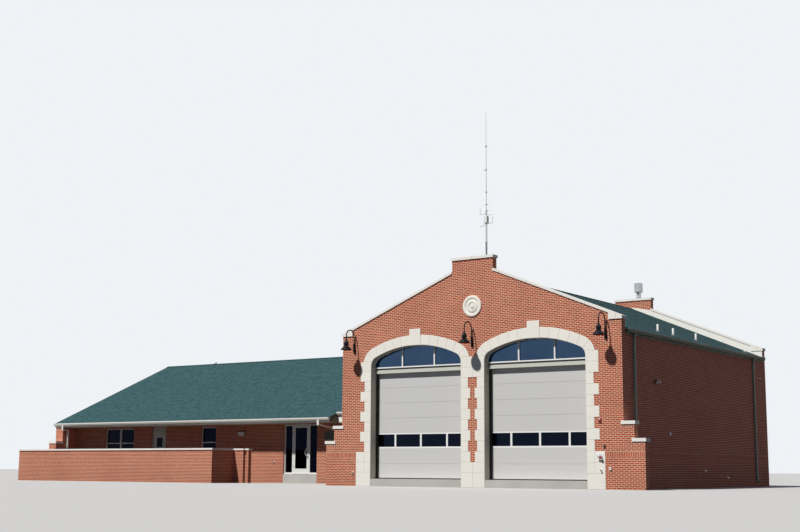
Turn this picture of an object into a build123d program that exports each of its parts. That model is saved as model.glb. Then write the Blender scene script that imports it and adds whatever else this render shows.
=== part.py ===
from build123d import *
import os

# Fire station with a two-door engine bay and a low gabled wing.
# Millimetres. X runs along the front towards the right, Y into the depth, Z up.
# The origin is the centre of the foot of the pier between the two engine doors.

# Levels above the lowest ground
bay_floor_z = 300
wing_floor_z = 440

# Masonry
wall_t = 300
stone_depth = 370            # cast stone of the door surrounds, from the brick face inwards
stone_proud = 12
course_z = 406.4             # one quoin, six courses of modular brick
first_joint_z = 560          # lowest joint between quoins
front_y = -stone_depth / 2   # brick face of the bay front

# Engine bay
bay_depth = 15240
roof_run = 304.8             # every slope is a rise for each run of this length
roof_rise = 127
roof_t = 180                 # deck and shingles, measured upright
bay_eave_z = 5825            # top of the roof at the outer face of the side walls

# Parapet over both bay gables
parapet_rise = 123.1
apex_half = 930
apex_foot_z = 8341           # where the sloped brick meets the apex block
apex_top_z = 8860
cap_t = 107
cap_over = 38                # how far every coping and cap stands past its wall
coping_t = 97
kneeler_run = 503            # level seat of the kneeler stone, inside the wall corner
kneeler_seat_z = 6125
flashing_t = 15              # metal on the roof side of each parapet
flashing_over_ridge = 70

# Engine doors and their three-centred arches
pier_half = 534
door_half = 2161
corner_w = 1464              # from the outer edge of an opening to the corner of the bay
crown_z = 5610
crown_r = 4700
haunch_r = 370
ring_t = 410
keystone_half = 267
keystone_taper = 8
keystone_top_z = 6265
quoin_narrow = 319           # tooth widths outside the opening
quoin_wide = 522
plinth_wide = 725
inlay_narrow = 100           # half widths of the brick in the middle pier
inlay_wide = 200
ring_foot = 11               # joint number where the arch stones begin

# Stepped ends of the bay front
step_run = 405
step_top_z = 2320
step_low_z = 1700
step_cap_t = 125
step_cap_seat = 88           # how far a step cap runs back into the higher wall
step_cap_over = 52           # how far it stands past the end of its step

# Round ornament in the gable
medallion_z = 7000
medallion_r = 420
medallion_seat = 90
medallion_proud = 45
medallion_groove = 25        # depth of its two grooves behind the brick face
medallion_sides = 36

# Overhead doors
panel_y = 440                # set back of the door from the brick face
panel_t = 50
panel_lap = 99               # how far a door runs behind each jamb
section_h = 609.6
section_count = 7
window_section = 2           # sections below the glazed one
groove_w = 8
groove_d = 6
pane_count = 4
pane_pitch = 1240
pane_gap = 80
pane_foot = 60
pane_h = 500
glass_t = 8
seal_w = 80

# Transom over each overhead door
header_y = 280
header_step = 100
header_z = 4546
header_lip_z = 4690
rail_z = 4750
rail_h = 50
transom_y = 230
transom_t = 100
transom_rim = 25
mullion_x = 772
mullion_half = 29

# Gutters and downspouts
gutter_w = 130
gutter_h = 120
bay_gutter_w = 150           # with the frieze board behind it
bay_gutter_h = 140
frieze_t = 40
frieze_h = 215
gutter_wall = 6
pipe_w = 100
pipe_d = 80
pipe_wall_gap = 8
pipe_foot = 220
outlet_x = -11254            # outlet of the wing gutter by the bay
entry_pipe_x = -10930        # its pipe on the wall
end_pipe_y = 4815            # pipe on the side of the stepped end
end_pipe_gap = 20
bay_pipe_front = 950         # from the bay front to each downspout
bay_pipe_rear = 13540

# Lamps over the engine doors
lamp_x = 5700
lamp_plate_z = 5403
lamp_plate_h = 150
lamp_plate_w = 120
lamp_plate_t = 20
lamp_reach = 600
lamp_neck_top_z = 6345
lamp_tube_r = 24
lamp_tube_sides = 8
lamp_bow_steps = 10
lamp_shade_sides = 24
lamp_sleeve_r = 37
lamp_sleeve_top_z = 5780
lamp_mouth_z = 5520
lamp_mouth_r = 225
lamp_bell_h = 160
lamp_waist_r = 60
lamp_ball_r = 84
lamp_ball_h = 170
lamp_cap_r = 36
lamp_shade_t = 8
lamp_stem_z = 5960           # lower end of the neck, in the cap above the ball

# On the roofs
flue_x = 250
flue_r = 110
flue_cap_r = 210
flue_top_z = 9750
flue_cap_h = 470
flue_cone_h = 70
flue_sides = 24
mast_y = 1100
mast_top_z = 15080
mast_r = 38
mast_whip_r = 20
mast_sides = 8
mast_whip_z = 11030          # top of the dark tube, foot of the pale rod
mast_clamp_drops = (1430, 2410, 3330, 3840, 4090)
mast_clamp_reach = 110
mast_arm = 290
mast_arm_z = 10830
mast_arm_gap = 410
mast_box = 150
vent_r = 45
vent_sides = 16
vent_in_front = 691          # from the outer face of the right wall
vent_in = 560
vent_in_back = 338
vent_top = 300
vent_low_top = 110
vent_1_y = 4837
vent_2_y = 6057
vent_3_y = 8450
vent_4_back = 1587           # from the back of the bay
stub_x = -25720
stub_r = 60
stub_top = 130

# Wing
wing_left = -29530
wing_setback = 5700          # from the bay front to the wing front
wing_span = 14810            # front wall face to rear wall face
wing_rise = 133
eave_reach = 1000
eave_top_z = 3050
eave_trim_z = 2830           # underside of the boxed eave
shingle_edge = 25            # what shows of the roof above a fascia
fascia_t = 30
soffit_t = 20
verge = 75
cut_x = -10630               # where the deep eave stops, left of the bay
cut_reach = 385
saddle_end = -3900

# Openings of the wing: left edge, right edge
entrance_l = -14215
entrance_r = -12155
entrance_head_z = 2790
entrance_setback = 80
service_l = -23210
service_r = -22160
service_head_z = 2787
window_head_z = 2745
window_foot_z = 1250
pair_l = -26700
pair_r = -24505
single_l = -19690
single_r = -18640
rear_window_in = 1930        # from the left end to the first rear window
rear_window_pitch = 3500
rear_window_count = 6
rear_window_w = 1050

# Door and window frames of the wing
frame_w = 65
frame_d = 110
sidelight_w = 420
leaf_gap = 8
leaf_t = 45
stile_w = 115
leaf_foot_rail = 240
leaf_head_rail = 90
floor_gap = 10
window_set = 90
sash_w = 45
sash_t = 60
rail_height_z = 1950
hinge_r = 9
hinge_len = 70
hinge_gap = 0.3
hinge_out = 15
hinge_count = 3
service_leaf_h = 2135
service_light_w = 430
service_light_h = 480
service_light_top = 330      # from the leaf's head down to the small light
handle_r = 15
handle_sides = 8
handle_out = 70
handle_foot = 850
handle_h = 330
handle_bow = 110
push_bar_z = 560             # above the foot of the leaf
push_bar_h = 60
push_bar_t = 45

# Stepped end of the wing front
end_w = 560
end_run = 980
end_step = 440
end_step_z = 1960

# Patio wall
patio_left = -29500
patio_front = 2300           # from the bay front to the patio wall's outer face
patio_back = 3790
patio_turn = -15700          # outer corner at the right
patio_end = -15085
patio_pier = 230
patio_t = 200
patio_top_z = 1540
patio_cap_t = 80

# Small things on the walls
bib_z = 560
bib_in = 590                 # from the left corner of the bay
side_bib_y = 7500
side_bib_z = 700
side_tap_y = 10000
side_tap_z = 420
wing_bib_out = 572           # left of the entrance
wing_bib_z = 1020
bib_r = 18
bib_out = 90
bib_drop = 60
valve_in = 900               # from the right corner of the bay
valve_z = 705
key_box_in = 767
key_box_z = 1554
key_box = 90
meter_box_in = 540
meter_box_z = 742
meter_box = 95
side_box_y = 4015
side_box_z = 2015
side_box = 130
alarm_out = 227              # right of the narrow quoin
alarm_z = 2403
alarm_w = 110
alarm_h = 160
alarm_d = 60
inlet_in = 185               # from the edge of the widest quoin
inlet_z = 1160
inlet_r = 110
inlet_gap = 55
inlet_nozzle_r = 45
inlet_out = 140
light_x = -17070
light_z = 2255
light_w = 400
light_h = 270
light_d = 150
flood_y = 2830
flood_z = 4000
flood_head = 130
flood_reach = 190
louver_left = -11700
louver_w = 610
louver_z = 2040
louver_h = 410
louver_d = 25
louver_rim = 30
louver_count = 6

roof_pitch = roof_rise / roof_run
wing_pitch = wing_rise / roof_run
parapet_pitch = parapet_rise / roof_run
door_x = pier_half + door_half
bay_half = door_x + door_half + corner_w
half_t = wall_t / 2
ridge_z = bay_eave_z + bay_half * roof_pitch
rear_y = front_y + bay_depth
wing_y = front_y + wing_setback
wing_rear_y = wing_y + wing_span
wing_ridge_y = (wing_y + wing_rear_y) / 2
eave_y = wing_y - eave_reach
rear_eave_y = wing_rear_y + eave_reach
wing_ridge_z = eave_top_z + (wing_ridge_y - eave_y) * wing_pitch
door_z0 = bay_floor_z
door_z1 = bay_floor_z + section_h * section_count
ring_z = first_joint_z + course_z * ring_foot


def joint_z(k):
    return first_joint_z + k * course_z


def block(x0, x1, y0, y1, z0, z1):
    centre = ((x0 + x1) / 2, (y0 + y1) / 2, (z0 + z1) / 2)
    return Pos(*centre) * Box(abs(x1 - x0), abs(y1 - y0), abs(z1 - z0))


def outline(points):
    return make_face(Polyline(*points, close=True))


def along_y(face, y0, y1):
    """A profile drawn as (x, z), run from y0 to y1."""
    plane = Plane(origin=(0, y0, 0), x_dir=(1, 0, 0), z_dir=(0, -1, 0))
    return extrude(plane * face, amount=y1 - y0, dir=(0, 1, 0))


def along_x(face, x0, x1):
    """A profile drawn as (y, z), run from x0 to x1."""
    plane = Plane(origin=(x0, 0, 0), x_dir=(0, 1, 0), z_dir=(1, 0, 0))
    return extrude(plane * face, amount=x1 - x0, dir=(1, 0, 0))


def rod(radius, length, sides):
    """Round bar drawn with flat sides, along z about the origin."""
    return extrude(RegularPolygon(radius, sides), amount=length / 2, both=True)


def rod_y(radius, length, sides):
    return Rot(90, 0, 0) * rod(radius, length, sides)


def turned(points, sides):
    """Round piece with flat sides, from its radius at each height."""
    return loft([Pos(0, 0, z) * RegularPolygon(radius, sides) for radius, z in points], ruled=True)


def mirror_x(shape):
    return mirror(shape, about=Plane.YZ)


def save(name, *shapes):
    solids = [solid for shape in shapes for solid in shape.solids()]
    export_step(solids[0] if len(solids) == 1 else Compound(children=solids), f"parts/{name}.step")


# Three-centred arch of the engine doors
def arch_face(offset, foot_z):
    """The opening under one arch, drawn about x = 0, grown by offset."""
    half = door_half + offset
    haunch_x = door_half - haunch_r
    centre_z = crown_z - crown_r
    spring_z = centre_z + ((crown_r - haunch_r) ** 2 - haunch_x**2) ** 0.5
    lean = Vector(haunch_x, spring_z - centre_z).normalized()
    bisect = (lean + Vector(1, 0)).normalized()
    haunch = Vector(haunch_x, spring_z)
    turn = haunch + lean * (haunch_r + offset)
    mid = haunch + bisect * (haunch_r + offset)
    edges = [
        Line((-half, foot_z), (half, foot_z)),
        Line((half, foot_z), (half, spring_z)),
        ThreePointArc((half, spring_z), (mid.X, mid.Y), (turn.X, turn.Y)),
        ThreePointArc((turn.X, turn.Y), (0, crown_z + offset), (-turn.X, turn.Y)),
        ThreePointArc((-turn.X, turn.Y), (-mid.X, mid.Y), (-half, spring_z)),
        Line((-half, spring_z), (-half, foot_z)),
    ]
    return make_face(edges)


def at_doors(shape):
    """The same piece at the left and at the right door."""
    return [Pos(side * door_x, 0, 0) * shape for side in (-1, 1)]


def opening_cut(offset, y0, y1):
    return along_y(arch_face(offset, -wall_t), y0, y1)


# Door surrounds
def jamb_edge():
    """Toothed outer edge of the right jamb, from the ground to the arch."""
    x = door_x + door_half
    widths = [plinth_wide] * 2 + [quoin_narrow, quoin_wide] * 3 + [quoin_narrow, quoin_wide, quoin_wide]
    points = []
    low = 0
    for k, width in enumerate(widths):
        top = joint_z(k + 1) if k else joint_z(1)
        points += [(x + width, low), (x + width, top)]
        low = top
    return points


def jamb_face():
    inner = door_x + door_half - haunch_r
    points = [(inner, 0)]
    for point in jamb_edge() + [(inner, joint_z(ring_foot))]:
        if point != points[-1]:
            points.append(point)
    return outline(points)


def jamb_stones():
    y0 = front_y - stone_proud
    y1 = front_y + stone_depth
    right = along_y(jamb_face(), y0, y1) - Pos(door_x, 0, 0) * opening_cut(0, y0, y1)
    return [mirror_x(right), right]


def keystone_face():
    foot = keystone_half - keystone_taper
    foot_z = crown_z - haunch_r
    head = keystone_half
    return outline([(-foot, foot_z), (foot, foot_z), (head, keystone_top_z), (-head, keystone_top_z)])


def keystones():
    y0 = front_y - 2 * stone_proud
    y1 = front_y + stone_depth
    return at_doors(along_y(keystone_face(), y0, y1) - opening_cut(0, y0, y1))


def arch_stones():
    y0 = front_y - stone_proud
    y1 = front_y + stone_depth
    ring = along_y(arch_face(ring_t, joint_z(0)), y0, y1) - opening_cut(0, y0, y1)
    ring -= along_y(keystone_face(), y0, y1)
    half = door_half + ring_t * 2
    return at_doors(ring - block(-half, half, y0, y1, 0, ring_z))


def inlay_face():
    """Brick strip in the middle pier, narrow and wide by turns."""
    edge = []
    for k in range(1, ring_foot - 2):
        half = inlay_narrow if k % 2 else inlay_wide
        edge += [(half, joint_z(k)), (half, joint_z(k + 1))]
    return outline(edge + [(-x, z) for x, z in reversed(edge)])


def pier_stones():
    y0 = front_y - stone_proud
    y1 = front_y + stone_depth
    inner = pier_half + haunch_r
    pier = along_y(outline([(-inner, 0), (inner, 0), (inner, ring_z), (-inner, ring_z)]), y0, y1)
    for cut in at_doors(opening_cut(0, y0, y1)):
        pier -= cut
    return pier - along_y(inlay_face(), y0, y1)


def pier_brick_inlay():
    return along_y(inlay_face(), front_y, front_y + stone_depth)


# Brick walls of the engine bay
def coping_z(x):
    """Underside of the sloped coping."""
    return apex_foot_z - (abs(x) - apex_half) * parapet_pitch


def gable_face(foot_z):
    kneel = bay_half - kneeler_run
    right = [
        (bay_half, foot_z), (bay_half, kneeler_seat_z), (kneel, kneeler_seat_z), (kneel, coping_z(kneel)),
        (apex_half, apex_foot_z), (apex_half, apex_top_z),
    ]
    return outline(right + [(-x, z) for x, z in reversed(right)])


def medallion_cut():
    disc = rod_y(medallion_r, medallion_seat, medallion_sides)
    return Pos(0, front_y + medallion_seat / 2, medallion_z) * disc


def front_gable():
    y1 = front_y + wall_t
    wall = along_y(gable_face(ring_z), front_y, y1)
    for cut in at_doors(opening_cut(ring_t, front_y, y1) + along_y(keystone_face(), front_y, y1)):
        wall -= cut
    return wall - medallion_cut()


def step_caps_right():
    caps = []
    for n, top in enumerate((step_top_z, step_low_z)):
        x1 = bay_half + step_run * (n + 1) + step_cap_over
        x0 = bay_half + step_run * n
        y0 = front_y - cap_over
        y1 = front_y + wall_t
        cap = block(x0, x1, y0, y1 + cap_over, top, top + step_cap_t)
        caps.append(cap + block(x0 - step_cap_seat, x0, y0, y1, top, top + step_cap_t))
    return caps


def front_wall_right():
    """Brick outside the right jamb, with the two steps at its end."""
    x1 = bay_half + step_run
    x2 = x1 + step_run
    edge = jamb_edge()
    edge = [edge[0]] + [point for n, point in enumerate(edge[1:]) if point != edge[n]]
    face = outline(edge + [
        (bay_half, ring_z), (bay_half, step_top_z), (x1, step_top_z), (x1, step_low_z),
        (x2, step_low_z), (x2, 0),
    ])
    wall = along_y(face, front_y, front_y + wall_t)
    for cap in step_caps_right():
        wall -= cap
    return wall


def step_caps():
    right = step_caps_right()
    return [mirror_x(cap) for cap in right] + right


def end_step_cap():
    y0 = wing_y - end_run - end_step
    return block(wing_left - cap_over, wing_left + end_w + cap_over, y0 - cap_over, y0 + end_step,
                 end_step_z, end_step_z + step_cap_t)


def bay_rear_wall():
    return along_y(gable_face(0), rear_y - wall_t, rear_y)


def bay_side_wall():
    inner = bay_half - wall_t
    under = bay_eave_z - roof_t
    face = outline([(inner, 0), (bay_half, 0), (bay_half, under), (inner, under + wall_t * roof_pitch)])
    return along_y(face, front_y + wall_t, rear_y - wall_t)


def bay_floor():
    y0 = front_y + wall_t
    inner = bay_half - wall_t
    slab = block(-inner, inner, y0, rear_y - wall_t, 0, bay_floor_z)
    for sill in at_doors(block(-door_half, door_half, front_y, y0, 0, bay_floor_z)):
        slab += sill
    jamb_x = door_x + door_half
    y1 = front_y + stone_depth
    slab -= block(-pier_half, pier_half, y0, y1, 0, bay_floor_z)
    for side in (-1, 1):
        slab -= block(side * jamb_x, side * (jamb_x + plinth_wide), y0, y1, 0, bay_floor_z)
    return slab


# Copings and caps
def coping_right(y0, y1):
    kneel = bay_half - kneeler_run
    tip = bay_half + cap_over
    points = [
        (apex_half, apex_foot_z), (kneel, coping_z(kneel)), (kneel, kneeler_seat_z), (tip, kneeler_seat_z),
        (tip, coping_z(tip) + coping_t), (apex_half, apex_foot_z + coping_t),
    ]
    return along_y(outline(points), y0 - cap_over, y1 + cap_over)


def copings(y0, y1):
    right = coping_right(y0, y1)
    return [mirror_x(right), right]


def apex_cap(y0, y1):
    half = apex_half + cap_over
    return block(-half, half, y0 - cap_over, y1 + cap_over, apex_top_z, apex_top_z + cap_t)


def flashing_face():
    """Right half of the metal between the roof and the coping."""
    kneel = bay_half - kneeler_run
    return outline([
        (0, ridge_z), (bay_half, bay_eave_z), (bay_half, kneeler_seat_z), (kneel, kneeler_seat_z),
        (kneel, coping_z(kneel)), (apex_half, apex_foot_z), (0, ridge_z + flashing_over_ridge),
    ])


def parapet_flashing():
    plates = []
    for y in (front_y + wall_t, rear_y - wall_t - flashing_t):
        right = along_y(flashing_face(), y, y + flashing_t)
        plates.append(right + mirror_x(right))
    return plates


# Roof of the engine bay
def bay_roof_right():
    face = outline([
        (0, ridge_z - roof_t), (bay_half, bay_eave_z - roof_t), (bay_half, bay_eave_z), (0, ridge_z),
    ])
    return along_y(face, front_y + wall_t, rear_y - wall_t)


def bay_envelope():
    """Everything up to the top of the bay roof, between the parapets."""
    face = outline([
        (-bay_half, -wall_t), (bay_half, -wall_t), (bay_half, bay_eave_z), (0, ridge_z),
        (-bay_half, bay_eave_z),
    ])
    return along_y(face, front_y, rear_y)


# Round ornament
def medallion():
    """Disc with a rim, a ring and a boss, parted by two grooves."""
    r = medallion_r
    proud = medallion_proud
    n = medallion_sides
    disc = turned([(r, -medallion_seat), (r, proud / 2), (r * 0.94, proud)], n)
    for outer, inner in ((0.70, 0.57), (0.36, 0.25)):
        ring = RegularPolygon(r * outer, n) - RegularPolygon(r * inner, n)
        disc -= Pos(0, 0, -medallion_groove) * extrude(ring, amount=proud + medallion_groove)
    return Pos(0, front_y, medallion_z) * Rot(90, 0, 0) * disc


# Overhead doors
def pane_edges():
    first = -pane_pitch * pane_count / 2
    half = door_half + panel_lap
    for n in range(pane_count):
        left = max(first + n * pane_pitch + pane_gap / 2, pane_gap - half)
        right = min(first + (n + 1) * pane_pitch - pane_gap / 2, half - pane_gap)
        yield left, right


def door_panels():
    """Plain sections below and above the glazed one."""
    half = door_half + panel_lap
    y0 = front_y + panel_y
    y1 = y0 + panel_t
    glazed_z = door_z0 + window_section * section_h
    lower = block(-half, half, y0, y1, door_z0, glazed_z)
    upper = block(-half, half, y0, y1, glazed_z + section_h, door_z1)
    panels = []
    for panel in (lower, upper):
        for n in range(1, section_count):
            z = door_z0 + n * section_h
            if n not in (window_section, window_section + 1):
                panel -= block(-half, half, y0, y0 + groove_d, z - groove_w / 2, z + groove_w / 2)
        panels.append(panel)
    return panels


def glazed_section():
    half = door_half + panel_lap
    y0 = front_y + panel_y
    z0 = door_z0 + window_section * section_h
    frame = block(-half, half, y0, y0 + panel_t, z0, z0 + section_h)
    for left, right in pane_edges():
        frame -= block(left, right, y0, y0 + panel_t, z0 + pane_foot, z0 + pane_foot + pane_h)
    return frame


def door_panes():
    y0 = front_y + panel_y + (panel_t - glass_t) / 2
    z0 = door_z0 + window_section * section_h + pane_foot
    return [block(left, right, y0, y0 + glass_t, z0, z0 + pane_h) for left, right in pane_edges()]


def door_seals():
    """Dark weather strips between the jambs and the face of the door."""
    y0 = front_y + stone_depth
    y1 = front_y + panel_y
    half = door_half + panel_lap
    strips = []
    for side in (-1, 1):
        strips.append(block(side * (door_half - seal_w), side * half, y0, y1, door_z0, header_z))
    return strips


def header():
    y0 = front_y + header_y
    y1 = front_y + panel_y
    points = [
        (y0, header_z), (y1, header_z), (y1, rail_z), (y0 + header_step, rail_z),
        (y0 + header_step, header_lip_z), (y0, header_lip_z),
    ]
    return along_x(outline(points), -door_half, door_half)


def transom_lights():
    face = arch_face(-transom_rim, rail_z + rail_h)
    for x in (-mullion_x, mullion_x):
        face -= Pos(x, (rail_z + crown_z) / 2) * Rectangle(mullion_half * 2, crown_z - rail_z)
    return face


def transom_frame():
    y0 = front_y + transom_y
    y1 = y0 + transom_t
    return along_y(arch_face(0, rail_z), y0, y1) - along_y(transom_lights(), y0, y1)


def transom_glass():
    y0 = front_y + transom_y + (transom_t - glass_t) / 2
    return along_y(transom_lights(), y0, y0 + glass_t)


# Gutters and downspouts
def gutter_face(depth, height):
    """An open trough against y = 0, its lip towards minus y, its top at z = 0."""
    t = gutter_wall
    return outline([
        (0, 0), (0, -height), (-depth * 0.7, -height), (-depth, -height * 0.35), (-depth, 0), (-depth + t, 0),
        (-depth + t, -height * 0.35), (-depth * 0.7 + t / 2, -height + t), (-t, -height + t), (-t, 0),
    ])


def trough(length, depth, height):
    """A gutter of the given length along X from x = 0, closed at its ends."""
    full = outline([(0, 0), (0, -height), (-depth * 0.7, -height), (-depth, -height * 0.35), (-depth, 0)])
    run = along_x(gutter_face(depth, height), 0, length)
    return run + along_x(full, 0, gutter_wall) + along_x(full, length - gutter_wall, length)


def bay_gutter(length):
    """Gutter on a frieze board that runs down the head of the wall."""
    board = block(0, length, -frieze_t, 0, -frieze_h, 0)
    return board + Pos(0, -frieze_t, 0) * trough(length, bay_gutter_w - frieze_t, bay_gutter_h)


def bay_gutters():
    top = bay_eave_z - soffit_t
    run = bay_depth - 2 * wall_t
    right = Pos(bay_half, front_y + wall_t, top) * Rot(0, 0, 90) * bay_gutter(run)
    meet = eave_y + (top - soffit_t - frieze_h - eave_top_z) / wing_pitch
    left = Pos(-bay_half, meet, top) * Rot(0, 0, -90) * bay_gutter(meet - front_y - wall_t)
    return [left, right]


def bay_downspout(y):
    """Pipe from the gutter, kicked back under the frieze board, down the right wall to a turned foot."""
    x1 = bay_half + pipe_wall_gap
    x2 = x1 + pipe_d
    top = bay_eave_z - soffit_t - bay_gutter_h
    bend = bay_eave_z - soffit_t - frieze_h - soffit_t
    shift = frieze_t
    lip = pipe_d * 0.7
    heel = pipe_foot + pipe_w
    points = [
        (x1 + shift, top), (x1 + shift, bend), (x1, bend - pipe_w), (x1, heel), (x1 + pipe_w, pipe_foot),
        (x1 + pipe_w + lip, pipe_foot + lip), (x2, heel - pipe_d + 2 * lip), (x2, bend - pipe_w),
        (x2 + shift, bend), (x2 + shift, top),
    ]
    pipe = along_y(outline(points), y - pipe_w / 2, y + pipe_w / 2)
    for z in (pipe_foot + section_h, top / 2, bend - pipe_w * 4):
        pipe += block(bay_half, x1 + pipe_d, y - pipe_w * 0.7, y + pipe_w * 0.7, z, z + pipe_d / 2)
    return pipe


def bay_downspouts():
    return [bay_downspout(front_y + place) for place in (bay_pipe_front, bay_pipe_rear)]


def wing_gutters():
    drop = soffit_t / 2
    top = eave_top_z - drop
    front = Pos(wing_left - verge, eave_y, top) * trough(cut_x - wing_left + verge, gutter_w, gutter_h)
    cut_top = eave_top_z + (eave_reach - cut_reach) * wing_pitch - drop
    short = Pos(cut_x, wing_y - cut_reach, cut_top) * trough(-bay_half - cut_x, gutter_w, gutter_h)
    rear_run = trough(verge * 2 - bay_half - wing_left, gutter_w, gutter_h)
    rear = Pos(-bay_half + verge, rear_eave_y, top) * Rot(0, 0, 180) * rear_run
    return [front, short, rear]


def leader(x0, y0, x1, y1, z0, z1):
    """Square pipe that slopes back under the eave from (x0, y0) to (x1, y1)."""
    ends = [Plane(origin=(x, y, z), x_dir=(1, 0, 0), z_dir=(0, -1, 0)) * Rectangle(pipe_w, pipe_d)
            for x, y, z in ((x0, y0, z0), (x1, y1, z1))]
    return loft(ends)


def wing_downspout(x0, x1, y1, straps):
    """Drop from the eave gutter at x0, leader back to (x1, y1), then a pipe with straps."""
    y0 = eave_y - gutter_w * 0.5
    top = eave_top_z - soffit_t / 2 - gutter_h
    z0 = eave_trim_z - pipe_w
    z1 = z0 - (y1 - y0) * wing_pitch * 0.5
    drop = block(x0 - pipe_w / 2, x0 + pipe_w / 2, y0 - pipe_d / 2, y0 + pipe_d / 2, z0 - pipe_d / 2, top)
    foot_z = pipe_foot + wing_floor_z
    pipe = block(x1 - pipe_w / 2, x1 + pipe_w / 2, y1 - pipe_d / 2, y1 + pipe_d / 2, foot_z, z1 + pipe_d / 2)
    pipe += drop + leader(x0, y0 - pipe_d / 2, x1, y1 + pipe_d / 2, z0, z1)
    for strap in straps:
        pipe += strap
    return pipe


def strap_heights():
    return [wing_floor_z + section_h, window_foot_z + section_h]


def entry_downspout():
    """Pipe on the wing's front wall, beside the bay."""
    x = entry_pipe_x
    y = wing_y - pipe_wall_gap - pipe_d / 2
    reach = pipe_w * 0.7
    straps = [block(x - reach, x + reach, y - pipe_d / 2, wing_y, z, z + pipe_d / 2) for z in strap_heights()]
    return wing_downspout(outlet_x, x, y, straps)


def end_downspout():
    """Pipe on the side of the stepped end."""
    side = wing_left + end_w
    x = side + end_pipe_gap + pipe_w / 2
    y = end_pipe_y
    reach = pipe_d * 0.7
    straps = [block(side, x + pipe_w / 2, y - reach, y + reach, z, z + pipe_d / 2) for z in strap_heights()]
    return wing_downspout(x, x, y, straps)


# Lamps, flue, mast and vents
def lamp_shade():
    """Bell under a ball and a cap, drawn about the z axis."""
    z = lamp_mouth_z
    r = lamp_mouth_r
    t = lamp_shade_t
    waist_z = z + lamp_bell_h
    ball_z = waist_z + t * 2
    cap_z = ball_z + lamp_ball_h
    mid = r * 0.56
    h = lamp_bell_h
    waist = lamp_waist_r
    ball = lamp_ball_r
    n = lamp_shade_sides
    shade = turned([(r, z), (r, z + t * 2), (r * 0.86, z + h * 0.3), (mid, z + h * 0.66),
                    (waist, waist_z)], n)
    shade -= turned([(r - t, z - t), (r - t, z + t), (r * 0.82, z + h * 0.22), (mid, z + h * 0.52),
                     (waist, waist_z - waist)], n)
    shade += turned([(ball, waist_z), (ball, ball_z)], n)
    bulge = lamp_ball_h
    shade += turned([(waist, ball_z), (ball, ball_z + bulge * 0.3), (ball, ball_z + bulge * 0.6),
                     (waist, ball_z + bulge * 0.88), (lamp_cap_r, cap_z), (lamp_cap_r, lamp_stem_z)], n)
    return shade


def lamp_neck(post_y, foot_z):
    """Post, half-round bow and drop, as one path of straight runs."""
    bow_r = (lamp_reach + post_y) / 2
    bow_z = lamp_neck_top_z - lamp_tube_r - bow_r
    path = [(0, post_y, foot_z)]
    for n in range(lamp_bow_steps + 1):
        turn = Vector(bow_r, 0).rotate(Axis.Z, 180 * n / lamp_bow_steps)
        path.append((0, post_y - bow_r + turn.X, bow_z + turn.Y))
    path.append((0, post_y - 2 * bow_r, lamp_stem_z - lamp_tube_r))
    section = Plane(path[0]) * RegularPolygon(lamp_tube_r, lamp_tube_sides)
    return sweep(section, path=Polyline(*path), transition=Transition.RIGHT)


def lamp():
    """Gooseneck lamp on a wall plate, drawn about x = 0 on the wall face y = 0."""
    half = lamp_plate_w / 2
    plate = block(-half, half, -lamp_plate_t, 0, lamp_plate_z, lamp_plate_z + lamp_plate_h)
    post_y = -lamp_plate_t - lamp_tube_r * 2
    foot_z = lamp_plate_z + lamp_plate_h / 2
    sleeve_h = lamp_sleeve_top_z - foot_z
    sleeve = Pos(0, post_y, foot_z + sleeve_h / 2) * rod(lamp_sleeve_r, sleeve_h, lamp_tube_sides)
    stub = block(-lamp_tube_r, lamp_tube_r, post_y, 0, foot_z - lamp_tube_r, foot_z + lamp_tube_r)
    return plate + stub + sleeve + lamp_neck(post_y, foot_z) + Pos(0, -lamp_reach, 0) * lamp_shade()


def lamps():
    body = lamp()
    return [Pos(x, front_y, 0) * body for x in (-lamp_x, 0, lamp_x)]


def flue():
    """Round pipe with a flared collar and a tall cap, on the rear parapet."""
    base = apex_top_z + cap_t
    neck = flue_top_z - flue_cap_h
    collar = flue_cap_r * 0.8
    lid = flue_cone_h / 2
    pipe = turned([(collar, base), (collar, base + lid), (flue_r, base + flue_cone_h),
                   (flue_r, neck - flue_cone_h), (collar, neck)], flue_sides)
    cap = turned([(flue_cap_r, neck), (flue_cap_r, flue_top_z - lid), (flue_r, flue_top_z)], flue_sides)
    return Pos(flue_x, rear_y - half_t, 0) * (pipe + cap)


def mast_bar(x0, x1, z0, z1):
    y = front_y + mast_y
    return block(x0, x1, y - mast_whip_r, y + mast_whip_r, z0, z1)


def antenna_mast():
    """Tube on a shoe over the ridge, a rod with clamps above it, and two short arms with a box."""
    y = front_y + mast_y
    w = mast_whip_r
    shoe = Pos(0, y, ridge_z + mast_r) * Box(mast_r * 8, mast_r * 6, mast_r * 2)
    mast = shoe - bay_envelope()
    mast += Pos(0, y, (ridge_z + mast_whip_z) / 2) * rod(mast_r, mast_whip_z - ridge_z, mast_sides)
    mast += Pos(0, y, (mast_whip_z + mast_top_z) / 2) * rod(w, mast_top_z - mast_whip_z, mast_sides)
    for n, down in enumerate(mast_clamp_drops):
        z = mast_top_z - down
        side = 1 if n % 2 else -1
        mast += mast_bar(-side * w * 2, side * mast_clamp_reach, z - w, z + w)
    for z in (mast_arm_z, mast_arm_z - mast_arm_gap):
        mast += mast_bar(-mast_arm, mast_arm, z - w / 2, z + w / 2)
    mast += mast_bar(-mast_arm, w - mast_arm, mast_arm_z, mast_arm_z + mast_arm)
    mast += mast_bar(mast_arm - w, mast_arm, mast_arm_z - mast_arm_gap, mast_arm_z - mast_arm_gap / 2)
    box_z = mast_arm_z - mast_arm_gap / 2
    return mast + Pos(0, y, box_z) * Box(mast_box, mast_box, mast_box * 2)


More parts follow.
